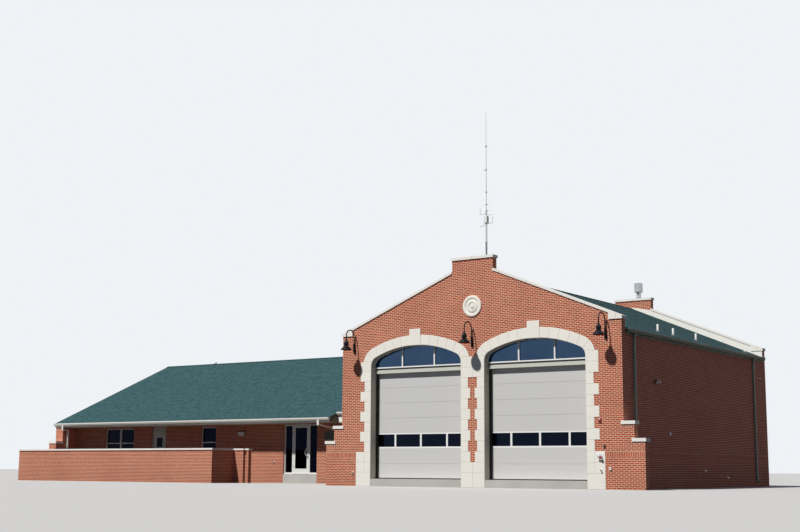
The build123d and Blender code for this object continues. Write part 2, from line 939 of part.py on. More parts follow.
def roof_vents():
    pipes = []
    for inward, place, top in (
        (vent_in_front, vent_1_y, vent_top), (vent_in, vent_2_y, vent_top), (vent_in, vent_3_y, vent_top),
        (vent_in_back, bay_depth - vent_4_back, vent_low_top),
    ):
        surface = bay_eave_z + inward * roof_pitch
        pipe = Pos(bay_half - inward, front_y + place, surface) * rod(vent_r, top * 2, vent_sides)
        pipes.append(pipe - bay_envelope())
    stub = Pos(stub_x, wing_ridge_y, wing_ridge_z) * rod(stub_r, stub_top * 2, vent_sides)
    pipes.append(stub - wing_roof_prism(0))
    return pipes


# Roof of the wing
def wing_roof_prism(drop):
    """Everything under the wing roof, lowered by drop."""
    points = [
        (eave_y, -wall_t), (rear_eave_y, -wall_t), (rear_eave_y, eave_top_z - drop),
        (wing_ridge_y, wing_ridge_z - drop), (eave_y, eave_top_z - drop),
    ]
    return along_x(outline(points), wing_left - verge, saddle_end)


def rear_parapet_block():
    """Where the bay's rear parapet, its coping and its flashing stand in the wing roof."""
    y0 = rear_y - wall_t - cap_over
    return block(-bay_half - cap_over, 0, y0, rear_y + cap_over, 0, wing_ridge_z)


def wing_roof_front():
    points = [
        (eave_y, eave_top_z - roof_t), (wing_ridge_y, wing_ridge_z - roof_t), (wing_ridge_y, wing_ridge_z),
        (eave_y, eave_top_z),
    ]
    slab = along_x(outline(points), wing_left - verge, saddle_end)
    cut_y = wing_y - cut_reach
    cut_z = eave_top_z + (eave_reach - cut_reach) * wing_pitch - shingle_edge
    slab -= block(cut_x, saddle_end, eave_y - verge, cut_y, 0, wing_ridge_z)
    slab -= block(wing_left - verge, cut_x, eave_y, eave_y + fascia_t, 0, eave_top_z - shingle_edge)
    slab -= block(cut_x, saddle_end, cut_y, cut_y + fascia_t, 0, cut_z)
    return slab - bay_envelope() - rear_parapet_block()


def wing_roof_rear():
    points = [
        (wing_ridge_y, wing_ridge_z - roof_t), (rear_eave_y, eave_top_z - roof_t), (rear_eave_y, eave_top_z),
        (wing_ridge_y, wing_ridge_z),
    ]
    slab = along_x(outline(points), wing_left - verge, saddle_end)
    slab -= bay_envelope()
    slab -= rear_parapet_block()
    fascia_y = rear_eave_y - fascia_t
    slab -= block(wing_left - verge, saddle_end, fascia_y, rear_eave_y, 0, eave_top_z - shingle_edge)
    return slab - block(verge - bay_half, 0, rear_y, rear_eave_y + verge, 0, wing_ridge_z)


# Walls of the wing
def wing_wall_face(outer, inward):
    """Profile of a long wall, from its outer face, under the sloped roof."""
    inner = outer + inward * wall_t
    under = eave_top_z - roof_t + eave_reach * wing_pitch
    return outline([(outer, 0), (inner, 0), (inner, under + wall_t * wing_pitch), (outer, under)])


def window_cut(left, right, y0, y1):
    return block(left, right, y0, y1, window_foot_z, window_head_z)


def wing_wall_west():
    wall = along_x(wing_wall_face(wing_y, 1), wing_left + wall_t, service_l)
    return wall - window_cut(pair_l, pair_r, wing_y, wing_y + wall_t)


def wing_wall_middle():
    wall = along_x(wing_wall_face(wing_y, 1), service_r, entrance_l)
    return wall - window_cut(single_l, single_r, wing_y, wing_y + wall_t)


def wing_wall_east():
    return along_x(wing_wall_face(wing_y, 1), entrance_r, -bay_half)


def door_lintels():
    wall = wing_wall_face(wing_y, 1)
    lintels = []
    for x0, x1, head in ((service_l, service_r, service_head_z), (entrance_l, entrance_r, entrance_head_z)):
        lintels.append(along_x(wall, x0, x1) - block(x0, x1, wing_y, wing_y + wall_t, 0, head))
    return lintels


def rear_windows():
    """Left edges of the rear windows."""
    return [wing_left + rear_window_in + n * rear_window_pitch for n in range(rear_window_count)]


def wing_rear_wall():
    wall = along_x(wing_wall_face(wing_rear_y, -1), wing_left + wall_t, -bay_half - wall_t)
    for left in rear_windows():
        wall -= window_cut(left, left + rear_window_w, wing_rear_y - wall_t, wing_rear_y)
    return wall


def wing_gable_face(y0):
    """End wall profile from y0 to the rear wall's face, under the roof."""
    foot_z = eave_top_z - roof_t
    under = foot_z + eave_reach * wing_pitch
    points = [(y0, 0), (wing_rear_y, 0), (wing_rear_y, under)]
    if y0 < wing_ridge_y:
        points += [(wing_ridge_y, wing_ridge_z - roof_t), (y0, under)]
    else:
        points += [(y0, foot_z + (rear_eave_y - y0) * wing_pitch)]
    return outline(points)


def wing_left_wall():
    return along_x(wing_gable_face(wing_y), wing_left, wing_left + wall_t)


def wing_right_wall():
    return along_x(wing_gable_face(rear_y), -bay_half - wall_t, -bay_half)


def wing_end_steps():
    """Stepped brick end that stands forward of the wing front."""
    x1 = wing_left + end_w
    tall = block(wing_left, x1, wing_y - end_run, wing_y, 0, eave_trim_z)
    low = block(wing_left, x1, wing_y - end_run - end_step, wing_y - end_run, 0, end_step_z)
    return tall + low


def wing_floor():
    x0 = wing_left + wall_t
    slab = block(x0, -bay_half, wing_y + wall_t, wing_rear_y - wall_t, 0, wing_floor_z)
    slab += block(service_l, service_r, wing_y, wing_y + wall_t, 0, wing_floor_z)
    slab += block(entrance_l, entrance_r, wing_y, wing_y + wall_t, 0, wing_floor_z)
    return slab - block(-bay_half - wall_t, -bay_half, rear_y, wing_rear_y, 0, wing_floor_z)


# Boxed eaves
def eave_box(y_edge, y_wall, x0, x1):
    """Fascia and soffit from the roof edge back to the wall, closed at both ends."""
    inward = 1 if y_wall > y_edge else -1
    reach = abs(y_wall - y_edge)
    edge_z = eave_top_z + (eave_reach - reach) * wing_pitch
    fascia = block(x0, x1, y_edge, y_edge + inward * fascia_t, eave_trim_z, edge_z - shingle_edge)
    soffit = block(x0, x1, y_edge, y_wall, eave_trim_z, eave_trim_z + soffit_t)
    closure = outline([
        (y_edge, eave_trim_z), (y_wall, eave_trim_z), (y_wall, edge_z - roof_t + reach * wing_pitch),
        (y_edge, edge_z - roof_t),
    ])
    return fascia + soffit + along_x(closure, x1 - fascia_t, x1) + along_x(closure, x0, x0 + fascia_t)


def eave_trim():
    x0 = wing_left - verge
    front = eave_box(eave_y, wing_y, x0, cut_x) + eave_box(wing_y - cut_reach, wing_y, cut_x, -bay_half)
    return [front, eave_box(rear_eave_y, wing_rear_y, x0, verge - bay_half)]


# Windows and doors of the wing
def window_frame(left, right, mullions, y_face, inward):
    """Frame with a rail across it, and with mullions, set back from the wall face."""
    y0 = y_face + inward * window_set
    y1 = y0 + inward * sash_t
    frame = block(left, right, y0, y1, window_foot_z, window_head_z)
    width = (right - left - sash_w * 2 * (mullions + 1)) / (mullions + 1)
    for n in range(mullions + 1):
        x0 = left + sash_w + n * (width + sash_w * 2)
        frame -= block(x0, x0 + width, y0, y1, window_foot_z + sash_w, rail_height_z)
        frame -= block(x0, x0 + width, y0, y1, rail_height_z + sash_w, window_head_z - sash_w)
    return frame


def window_panes(left, right, y_face, inward):
    """One sheet of glass against the back of each frame."""
    y0 = y_face + inward * (window_set + sash_t)
    return block(left, right, y0, y0 + inward * glass_t, window_foot_z, window_head_z)


def window_frames():
    frames = [window_frame(pair_l, pair_r, 1, wing_y, 1), window_frame(single_l, single_r, 0, wing_y, 1)]
    return frames + [window_frame(x, x + rear_window_w, 0, wing_rear_y, -1) for x in rear_windows()]


def window_glass():
    panes = [window_panes(pair_l, pair_r, wing_y, 1), window_panes(single_l, single_r, wing_y, 1)]
    return panes + [window_panes(x, x + rear_window_w, wing_rear_y, -1) for x in rear_windows()]


entrance_y = wing_y + entrance_setback
leaf_l = entrance_l + sidelight_w + 2 * frame_w + leaf_gap
leaf_r = entrance_r - sidelight_w - 2 * frame_w - leaf_gap
leaf_z0 = wing_floor_z + floor_gap
leaf_z1 = entrance_head_z - frame_w - leaf_gap
service_leaf_l = service_l + frame_w + leaf_gap
service_leaf_r = service_r - frame_w - leaf_gap
service_z0 = wing_floor_z + floor_gap
service_z1 = wing_floor_z + service_leaf_h


def hinge_heights(z0, z1):
    step = (z1 - z0) / hinge_count
    return [z0 + step * (n + 0.5) for n in range(hinge_count)]


def hinge_knuckle(x, face_y, z0, z1, side):
    """A barrel in front of a face, joined to it by a plate on one side of the gap."""
    y = face_y - hinge_out
    barrel = Pos(x, y, (z0 + z1) / 2) * rod(hinge_r, z1 - z0, handle_sides)
    near = x + side * leaf_gap / 2
    far = near + side * hinge_r * 2
    plate = block(x, far, y - hinge_r / 3, y + hinge_r / 3, z0, z1)
    foot = block(near, far, y, face_y, z0, z1)
    return barrel + plate + foot


def frame_knuckles(x, face_y, z0, z1):
    pieces = []
    for z in hinge_heights(z0, z1):
        for low in (z - hinge_len * 0.75, z + hinge_len * 0.25 + hinge_gap):
            pieces.append(hinge_knuckle(x, face_y, low, low + hinge_len / 2 - hinge_gap, -1))
    return pieces


def leaf_knuckles(x, face_y, z0, z1):
    half = hinge_len * 0.25
    return [hinge_knuckle(x, face_y, z - half, z + half, 1) for z in hinge_heights(z0, z1)]


def entrance_frame():
    y0 = entrance_y
    y1 = y0 + frame_d
    frame = block(entrance_l, entrance_r, y0, y1, wing_floor_z, entrance_head_z)
    door = block(leaf_l - leaf_gap, leaf_r + leaf_gap, y0, y1, wing_floor_z, entrance_head_z - frame_w)
    frame -= door
    for x0 in (entrance_l + frame_w, entrance_r - frame_w - sidelight_w):
        frame -= block(x0, x0 + sidelight_w, y0, y1, wing_floor_z + frame_w, entrance_head_z - frame_w)
    for knuckle in frame_knuckles(leaf_l - leaf_gap / 2, y0, leaf_z0, leaf_z1):
        frame += knuckle
    return frame


def sidelight_glass():
    y0 = entrance_y + (frame_d - glass_t) / 2
    return [block(x0, x0 + sidelight_w, y0, y0 + glass_t, wing_floor_z + frame_w, entrance_head_z - frame_w)
            for x0 in (entrance_l + frame_w, entrance_r - frame_w - sidelight_w)]


def leaf_light(y0, y1):
    """The glazed part of the entrance leaf."""
    z0 = leaf_z0 + leaf_foot_rail
    return block(leaf_l + stile_w, leaf_r - stile_w, y0, y1, z0, leaf_z1 - leaf_head_rail)


def entrance_door():
    y0 = entrance_y
    leaf = block(leaf_l, leaf_r, y0, y0 + leaf_t, leaf_z0, leaf_z1) - leaf_light(y0, y0 + leaf_t)
    for knuckle in leaf_knuckles(leaf_l - leaf_gap / 2, y0, leaf_z0, leaf_z1):
        leaf += knuckle
    bar_z = leaf_z0 + leaf_foot_rail + push_bar_z
    y1 = y0 + leaf_t
    x0 = leaf_l + stile_w / 2
    return leaf + block(x0, leaf_r - stile_w / 2, y1, y1 + push_bar_t, bar_z, bar_z + push_bar_h)


def entrance_door_glass():
    y0 = entrance_y + (leaf_t - glass_t) / 2
    return leaf_light(y0, y0 + glass_t)


def pull_handle():
    """Bar bowed towards the hinges, on two posts on the latch stile."""
    x = leaf_r - stile_w / 2
    y = entrance_y - handle_out
    z0 = wing_floor_z + handle_foot
    z1 = z0 + handle_h
    bow = ThreePointArc((x, y, z0), (x - handle_bow, y, (z0 + z1) / 2), (x, y, z1))
    grip = sweep(Plane(origin=bow @ 0, z_dir=bow % 0) * RegularPolygon(handle_r, handle_sides), path=bow)
    post_r = handle_r * 1.5
    length = handle_out + post_r
    for z in (z0, z1):
        grip += block(x - post_r, x + post_r, entrance_y - length, entrance_y, z - post_r, z + post_r)
    return grip


def service_door_frame():
    y0 = wing_y + window_set
    y1 = y0 + frame_d
    frame = block(service_l, service_r, y0, y1, wing_floor_z, service_head_z)
    frame -= block(service_l + frame_w, service_r - frame_w, y0, y1, wing_floor_z, service_z1 + leaf_gap)
    for knuckle in frame_knuckles(service_leaf_l - leaf_gap / 2, y0, service_z0, service_z1):
        frame += knuckle
    return frame


def service_light_box(y0, y1):
    centre = (service_leaf_l + service_leaf_r) / 2
    top = service_z1 - service_light_top
    half = service_light_w / 2
    return block(centre - half, centre + half, y0, y1, top - service_light_h, top)


def service_door():
    y0 = wing_y + window_set
    leaf = block(service_leaf_l, service_leaf_r, y0, y0 + leaf_t, service_z0, service_z1)
    leaf -= service_light_box(y0, y0 + leaf_t)
    for knuckle in leaf_knuckles(service_leaf_l - leaf_gap / 2, y0, service_z0, service_z1):
        leaf += knuckle
    knob = Pos(service_leaf_r - stile_w * 0.4, y0 - handle_out / 2, wing_floor_z + handle_foot + handle_r)
    lever = knob * rod_y(handle_r, handle_out, handle_sides)
    return leaf + lever


def service_door_glass():
    y0 = wing_y + window_set + (leaf_t - glass_t) / 2
    return service_light_box(y0, y0 + glass_t)


# Patio wall
def patio_runs(over):
    """Boxes of the wall, from the stepped end round to the pier by the entrance, grown by over."""
    y0 = front_y + patio_front
    y1 = front_y + patio_back
    t = patio_t
    step = patio_pier / 2
    join = wing_y - end_run - end_step
    return [
        (patio_left - over, patio_turn + over, y0 - over, y0 + t + over),
        (patio_left - over, patio_left + t + over, y0, join),
        (patio_turn - t - over, patio_turn + over, y0, y1 + t + over),
        (patio_turn, patio_end + over, y1 - over, y1 + t + over),
        (patio_end, patio_end + patio_pier + over, y1 + step - over, y1 + t + step + over),
    ]


def patio_wall():
    boxes = [block(*run, 0, patio_top_z) for run in patio_runs(0)]
    return boxes[0] + boxes[1:]


def patio_coping():
    boxes = [block(*run, patio_top_z, patio_top_z + patio_cap_t) for run in patio_runs(cap_over)]
    return boxes[0] + boxes[1:]


# Small things on the walls
def fire_inlet():
    """Twin inlet on a round plate, low on the right jamb."""
    x = door_x + door_half + plinth_wide - inlet_in
    y = front_y - stone_proud
    plate = Pos(x, y - bib_r / 2, inlet_z) * rod_y(inlet_r, bib_r, vent_sides)
    for side in (-1, 1):
        nozzle = rod_y(inlet_nozzle_r, inlet_out, vent_sides)
        plate += Pos(x + side * inlet_gap, y - inlet_out / 2, inlet_z) * nozzle
    return plate


def wall_box(x, z, size, depth):
    """A small box on the brick of the bay front."""
    return block(x - size / 2, x + size / 2, front_y - depth, front_y, z - size / 2, z + size / 2)


def bay_boxes():
    """Alarm, key box and meter box on the bay front, and a box on the right wall."""
    x = door_x + door_half + quoin_narrow + alarm_out
    half = alarm_w / 2
    alarm = block(x - half, x + half, front_y - alarm_d, front_y, alarm_z, alarm_z + alarm_h)
    key = wall_box(bay_half - key_box_in, key_box_z, key_box, alarm_d)
    meter = wall_box(bay_half - meter_box_in, meter_box_z, meter_box, alarm_d)
    y0 = front_y + side_box_y
    side = block(bay_half, bay_half + alarm_d, y0, y0 + side_box, side_box_z, side_box_z + side_box)
    return [alarm, key, meter, side]


def hose_bib(x, y, z, turn):
    body = Pos(0, -bib_out / 2, 0) * rod_y(bib_r, bib_out, handle_sides)
    body += Pos(0, -bib_r / 2, 0) * rod_y(bib_r * 2, bib_r, handle_sides)
    body += Pos(0, bib_r - bib_out, -bib_drop / 2) * rod(bib_r * 0.8, bib_drop, handle_sides)
    return Pos(x, y, z) * Rot(0, 0, turn) * body


def hose_bibs():
    places = [
        (bib_in - bay_half, front_y, bib_z, 0), (bay_half - valve_in, front_y - stone_proud, valve_z, 0),
        (bay_half, front_y + side_bib_y, side_bib_z, 90), (bay_half, front_y + side_tap_y, side_tap_z, 90),
        (entrance_l - wing_bib_out, wing_y, wing_bib_z, 0),
    ]
    return [hose_bib(*place) for place in places]


def wing_light():
    """Bulkhead light with a sloped lens under its hood."""
    d = light_d
    z1 = light_z + light_h
    profile = outline([
        (wing_y, light_z), (wing_y, z1), (wing_y - d * 0.7, z1), (wing_y - d, z1 - light_h * 0.3),
        (wing_y - d * 0.9, z1 - light_h * 0.45), (wing_y - d * 0.4, light_z),
    ])
    return along_x(profile, light_x, light_x + light_w)


def flood_light():
    """Two square heads on a round box, on the right wall."""
    y = front_y + flood_y
    h = flood_head
    x0 = bay_half + h / 6
    x1 = bay_half + flood_reach - h / 2
    light = Pos(x0, y, flood_z) * Rot(0, 90, 0) * rod(h / 2, h / 3, vent_sides)
    for side in (-1, 1):
        head_y = y + side * h * 0.85
        arm = Line((x0, y, flood_z), (x1, head_y, flood_z))
        light += sweep(Plane(origin=arm @ 0, z_dir=arm % 0) * Rectangle(bib_r, bib_r), path=arm)
        light += Pos(x1, head_y, flood_z) * Rot(0, 40, 0) * Box(h * 0.8, h, h)
    return light


def louver():
    y0 = wing_y - louver_d
    x1 = louver_left + louver_w
    z1 = louver_z + louver_h
    rim = louver_rim
    back = louver_d / 5
    frame = block(louver_left, x1, y0, wing_y, louver_z, z1)
    frame -= block(louver_left + rim, x1 - rim, y0, wing_y - back, louver_z + rim, z1 - rim)
    step = (louver_h - 2 * rim) / louver_count
    for n in range(louver_count):
        z = louver_z + rim + n * step
        head_y = wing_y - back
        slat = outline([(y0, z), (y0 + back, z), (head_y, z + step * 0.7), (head_y, z + step * 0.85)])
        frame += along_x(slat, louver_left + rim, x1 - rim)
    return frame


os.makedirs("parts", exist_ok=True)
panels = door_panels()
save("bay_floor", bay_floor())
save("front_wall_right", front_wall_right())
save("front_wall_left", mirror_x(front_wall_right()))
save("front_gable", front_gable())
save("pier_stones", pier_stones())
save("pier_brick_inlay", pier_brick_inlay())
save("jamb_stones", *jamb_stones())
save("arch_stones", *arch_stones())
save("keystones", *keystones())
save("medallion", medallion())
save("front_coping", *copings(front_y, front_y + wall_t))
save("rear_coping", *copings(rear_y - wall_t, rear_y))
save("parapet_flashing", *parapet_flashing())
save("apex_caps", apex_cap(front_y, front_y + wall_t), apex_cap(rear_y - wall_t, rear_y))
save("step_caps", *step_caps(), end_step_cap())
save("bay_rear_wall", bay_rear_wall())
save("bay_right_wall", bay_side_wall())
save("bay_left_wall", mirror_x(bay_side_wall()))
save("bay_roof_right", bay_roof_right())
save("bay_roof_left", mirror_x(bay_roof_right()))
for name, n in (("left", 0), ("right", 1)):
    save(f"overhead_door_{name}", *[at_doors(panel)[n] for panel in panels])
save("glazed_sections", *at_doors(glazed_section()))
save("door_panes", *[pane for place in door_panes() for pane in at_doors(place)])
save("door_seals", *[strip for place in door_seals() for strip in at_doors(place)])
save("door_headers", *at_doors(header()))
save("transom_frames", *at_doors(transom_frame()))
save("transom_glass", *at_doors(transom_glass()))
save("bay_gutters", *bay_gutters())
save("bay_downspouts", *bay_downspouts())
save("gooseneck_lamps", *lamps())
save("flue", flue())
save("antenna_mast", antenna_mast())
save("roof_vents", *roof_vents())
save("wing_floor", wing_floor())
save("wing_wall_west", wing_wall_west())
save("wing_wall_middle", wing_wall_middle())
save("wing_wall_east", wing_wall_east())
save("door_lintels", *door_lintels())
save("wing_rear_wall", wing_rear_wall())
save("wing_left_wall", wing_left_wall())
save("wing_right_wall", wing_right_wall())
save("wing_end_steps", wing_end_steps())
save("wing_roof_front", wing_roof_front())
save("wing_roof_rear", wing_roof_rear())
save("eave_trim", *eave_trim())
save("wing_gutters", *wing_gutters())
save("wing_downspouts", entry_downspout(), end_downspout())
save("window_frames", *window_frames())
save("window_glass", *window_glass(), *sidelight_glass())
save("entrance_frame", entrance_frame())
save("entrance_door", entrance_door(), pull_handle())
save("entrance_door_glass", entrance_door_glass())
save("service_door_frame", service_door_frame())
save("service_door", service_door())
save("service_door_glass", service_door_glass())
save("patio_wall", patio_wall())
save("patio_coping", patio_coping())
save("fire_inlet", fire_inlet())
save("wall_fittings", *bay_boxes(), *hose_bibs(), wing_light(), flood_light(), louver())
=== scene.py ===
import random
from math import acos, asin, atan, cos, pi, radians, sin, tan

import bmesh
import bpy
from mathutils import Matrix, Vector


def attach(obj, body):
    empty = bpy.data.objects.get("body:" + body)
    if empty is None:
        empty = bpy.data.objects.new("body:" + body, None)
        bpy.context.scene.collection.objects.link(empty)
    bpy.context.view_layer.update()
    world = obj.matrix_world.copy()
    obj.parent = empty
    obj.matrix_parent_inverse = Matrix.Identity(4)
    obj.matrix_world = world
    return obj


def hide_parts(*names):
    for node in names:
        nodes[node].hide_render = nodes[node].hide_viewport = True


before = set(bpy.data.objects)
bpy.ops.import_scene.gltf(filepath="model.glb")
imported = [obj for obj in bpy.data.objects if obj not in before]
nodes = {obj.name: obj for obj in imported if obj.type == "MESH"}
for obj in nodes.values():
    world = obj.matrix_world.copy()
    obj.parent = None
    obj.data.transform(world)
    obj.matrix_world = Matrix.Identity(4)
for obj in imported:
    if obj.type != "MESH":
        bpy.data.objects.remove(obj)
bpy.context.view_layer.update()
scene = bpy.context.scene


# The view. A camera stands across the street, to the right of the bay and low, and looks up and
# to the left along the front. The lens is a short telephoto.
eye = Vector((26.007, -42.522, 0.668))
turn, lift, roll = radians(34.83), radians(9.05), radians(0.33)
ahead = Vector((-sin(turn) * cos(lift), cos(turn) * cos(lift), sin(lift)))
level = Vector((cos(turn), sin(turn), 0))
upward = level.cross(ahead)
right = level * cos(roll) + upward * sin(roll)
upright = upward * cos(roll) - level * sin(roll)


def put(name, data):
    """A new object, linked to the scene."""
    made = bpy.data.objects.new(name, data)
    scene.collection.objects.link(made)
    return made


lens = bpy.data.cameras.new("camera")
lens.lens, lens.sensor_width, lens.sensor_fit, lens.clip_end = 57.54, 36, "HORIZONTAL", 600
camera = put("camera", lens)
camera.matrix_world = Matrix((
    (right.x, upright.x, -ahead.x, eye.x),
    (right.y, upright.y, -ahead.y, eye.y),
    (right.z, upright.z, -ahead.z, eye.z),
    (0, 0, 0, 1),
))
scene.camera = camera
scene.view_settings.view_transform = "Standard"


# The light. One broad lamp high over the street, a little to the left, and a low bluish fill from
# all round. Behind the building, in glass and in metal, the same surroundings show white.
class Number:
    """One value in a node tree, so that a finish can be worked out as a sum."""

    def __init__(self, tree, socket):
        self.tree, self.socket = tree, socket

    def math(self, operation, *others):
        return self.tree.node("ShaderNodeMath", (self, *others), operation=operation)

    def __add__(self, other):
        return self.math("ADD", other)

    __radd__ = __add__

    def __sub__(self, other):
        return self.math("SUBTRACT", other)

    def __rsub__(self, other):
        return self.tree.node("ShaderNodeMath", (other, self), operation="SUBTRACT")

    def __mul__(self, other):
        return self.math("MULTIPLY", other)

    def __truediv__(self, other):
        return self.math("DIVIDE", other)

    def __gt__(self, other):
        return self.math("GREATER_THAN", other)

    def __lt__(self, other):
        return self.math("LESS_THAN", other)

    def within(self, low, high):
        return (self > low) * (self < high)

    def waves(self, pitch):
        return (self / pitch * 2 * pi).math("SINE")

    def output(self, name):
        return Number(self.tree, self.socket.node.outputs[name])


class Tree:
    """A node tree. One method makes any node, with its settings first and then its inputs."""

    prefix = "ShaderNode"

    def __init__(self, tree):
        self.nodes, self.links = tree.nodes, tree.links

    def node(self, kind, inputs=(), out=0, **settings):
        whole = kind.startswith(("ShaderNode", "GeometryNode", "NodeGroup"))
        made = self.nodes.new(kind if whole else self.prefix + kind)
        for key, value in settings.items():
            setattr(made, key, value)
        for key, value in inputs.items() if isinstance(inputs, dict) else enumerate(inputs):
            self.join(made.inputs[key], value)
        return Number(self, made.outputs[out]) if len(made.outputs) else None

    def join(self, socket, value):
        if isinstance(value, Number):
            self.links.new(value.socket, socket)
        elif isinstance(value, tuple) and socket.type == "RGBA":
            socket.default_value = (*value, 1)
        else:
            socket.default_value = value

    def vector(self, x, y=0.0, z=0.0):
        return self.node("ShaderNodeCombineXYZ", (x, y, z))

    def mix(self, factor, a, b):
        """One colour towards another. Inputs 6 and 7 and output 2 are the node's colours."""
        return self.node("ShaderNodeMix", {0: factor, 6: a, 7: b}, out=2, data_type="RGBA")

    def seen_ray(self):
        """1 for what is seen, straight on or in glass and metal, and 0 for what only gives light."""
        ray = self.node("ShaderNodeLightPath")
        seen = ray.output("Is Camera Ray") + ray.output("Is Glossy Ray") + ray.output("Is Transmission Ray")
        return seen.math("MINIMUM", 1.0)


rays = bpy.data.lights.new("sun", "SUN")
rays.energy = 4.25
rays.angle = radians(2.5)
rays.color = (1.0, 0.965, 0.92)
sun = put("sun", rays)
sun.rotation_mode = "QUATERNION"
sun.rotation_quaternion = Vector((0.17, 0.58, -0.77)).to_track_quat("-Z", "Y")
sky_fill, sky_seen = (0.085, 0.108, 0.165), (0.86, 0.89, 0.92)
world = bpy.data.worlds.new("sky")
world.use_nodes = True
sky = Tree(world.node_tree)
sky.join(sky.nodes["Background"].inputs["Color"], sky.mix(sky.seen_ray(), sky_fill, sky_seen))
scene.world = world


# The floor. A plain pale sheet under the building, far wider than the view, that keeps the shadow.
# The light that it throws back on the walls is that of the dull ground such a building stands on.
floor_corners = [(-400, -300, 0), (400, -300, 0), (400, 500, 0), (-400, 500, 0)]
ground_fill, ground_seen = (0.050, 0.050, 0.045), (0.55, 0.55, 0.54)
floor_mesh = bpy.data.meshes.new("floor")
floor_mesh.from_pydata(floor_corners, [], [(0, 1, 2, 3)])
floor = put("floor", floor_mesh)
floor_paint = bpy.data.materials.new("floor")
floor_paint.use_nodes = True
ground = Tree(floor_paint.node_tree)
ground_look = ground.nodes["Principled BSDF"].inputs
ground.join(ground_look["Base Color"], ground.mix(ground.seen_ray(), ground_fill, ground_seen))
ground_look["Roughness"].default_value = 0.95
ground_look["Specular IOR Level"].default_value = 0.1
floor_mesh.materials.append(floor_paint)


# The brick walls. Modular clay brick in running bond, orange-red and wire cut, with pale mortar
# struck a little back. A soldier course runs round the bay at the height of the second quoin.
class Finish(Tree):
    """A procedural material. Its places are read in metres from the object's own coordinates."""

    def __init__(self, name, roughness, metallic=0.0, gloss=0.5):
        self.material = bpy.data.materials.new(name)
        self.material.use_nodes = True
        super().__init__(self.material.node_tree)
        self.shader = self.nodes["Principled BSDF"]
        self.shader.inputs["Specular IOR Level"].default_value = gloss
        self.give(roughness=roughness, metallic=metallic)
        self.place = self.node("TexCoord").output("Object")
        self.x, self.y, self.z = self.split(self.place)
        self.facing = self.split(self.place.output("Normal"))
        self.side_on = self.facing[0].math("ABSOLUTE") > 0.7
        self.along = self.x * (1 - self.side_on) + self.y * self.side_on

    def give(self, **values):
        for key, value in values.items():
            self.join(self.shader.inputs[key.replace("_", " ").title()], value)

    def split(self, vector):
        parts = self.node("SeparateXYZ", (vector,))
        return [parts.output(axis) for axis in "XYZ"]

    def noise(self, scale, detail=3.0):
        return self.node("TexNoise", {"Vector": self.place, "Scale": scale, "Detail": detail})

    def chance(self, *cell):
        """A random value for each cell of a pattern."""
        spot = self.vector(*cell)
        return self.node("TexWhiteNoise", {"Vector": spot}, noise_dimensions="3D")

    def mottle(self, scale, dark, light, detail=3.0):
        self.give(base_color=self.mix(self.noise(scale, detail), dark, light))

    def bump(self, height, strength, distance):
        self.give(normal=self.node("Bump", {"Height": height, "Strength": strength, "Distance": distance}))


def dress(finish, *names):
    for name in names:
        slots = nodes[name].data.materials
        slots.clear()
        slots.append(finish.material)


brick_long, brick_row, brick_joint = 0.2032, 0.067733, 0.0078
first_row, soldier_foot = 0.0181, 1.1500
clay_light, clay_dark, clay_deep = (0.48, 0.080, 0.034), (0.32, 0.043, 0.022), (0.27, 0.037, 0.020)
clay_bright, clay_soiled, mortar = (0.70, 0.26, 0.14), (0.30, 0.13, 0.08), (0.89, 0.71, 0.50)
wall_foot, soil_height = 0.30, 0.55


def brick_finish(name, soldier):
    """Brick and mortar, with a soldier course where asked for and a little soil at the foot."""
    made = Finish(name, 0.85, gloss=0.2)
    tone = {"Color1": clay_light, "Color2": clay_dark, "Mortar": mortar, "Scale": 1.0,
            "Mortar Size": brick_joint, "Mortar Smooth": 0.1, "Bias": -0.15}

    def laid(foot, width, height, **settings):
        bond = {"Vector": made.vector(made.along, made.z - foot), "Brick Width": width, "Row Height": height}
        return made.node("TexBrick", {**tone, **bond}, **settings)

    colour = laid(first_row, brick_long, brick_row)
    joint = colour.output("Fac")
    if soldier:
        stood = laid(soldier_foot, brick_row, brick_long, offset=0.0)
        in_course = made.z.within(soldier_foot, soldier_foot + brick_long)
        joint = joint * (1 - in_course) + stood.output("Fac") * in_course
        colour = made.mix(in_course, colour, stood)
    blotch = made.noise(0.55, 4.0)
    grain = made.noise(38.0, 2.0)
    soil = (1 - (made.z - wall_foot) / soil_height).math("MAXIMUM", 0.0).math("MINIMUM", 1.0)
    colour = made.mix((blotch - 0.4) * 0.5, colour, clay_deep)
    colour = made.mix((grain - 0.5) * 0.35, colour, clay_bright)
    colour = made.mix(soil * blotch * 0.25, colour, clay_soiled)
    made.give(base_color=colour, roughness=0.78 + joint * 0.15)
    made.bump(grain * 0.12 - joint, 0.8, 0.006)
    return made


bay_brick = brick_finish("bay_brick", True)
wing_brick = brick_finish("wing_brick", False)
dress(bay_brick, "front_wall_left", "front_wall_right", "front_gable", "bay_rear_wall", "bay_right_wall",
      "bay_left_wall")
dress(wing_brick, "wing_wall_west", "wing_wall_middle", "wing_wall_east", "door_lintels", "wing_rear_wall",
      "wing_left_wall", "wing_right_wall", "wing_end_steps", "patio_wall", "pier_brick_inlay")


# The cast stone round the engine doors. Each quoin and arch stone is a cream block of its own with
# eased edges, set in thin mortar, and the joints stand a few millimetres back.
quoin, quoin_count, first_joint, joint_gap = 0.4064, 11, 0.560, 0.007
ring_foot = first_joint + quoin_count * quoin
door_x, door_half, crown_z, crown_r, haunch_r, ring_t = 2.695, 2.161, 5.610, 4.700, 0.370, 0.410
face_y, brick_y, back_y, arch_steps = -0.197, -0.185, 0.185, 4
haunch_lean = asin((door_half - haunch_r) / (crown_r - haunch_r))
haunch_z = crown_z - crown_r + (crown_r - haunch_r) * cos(haunch_lean)


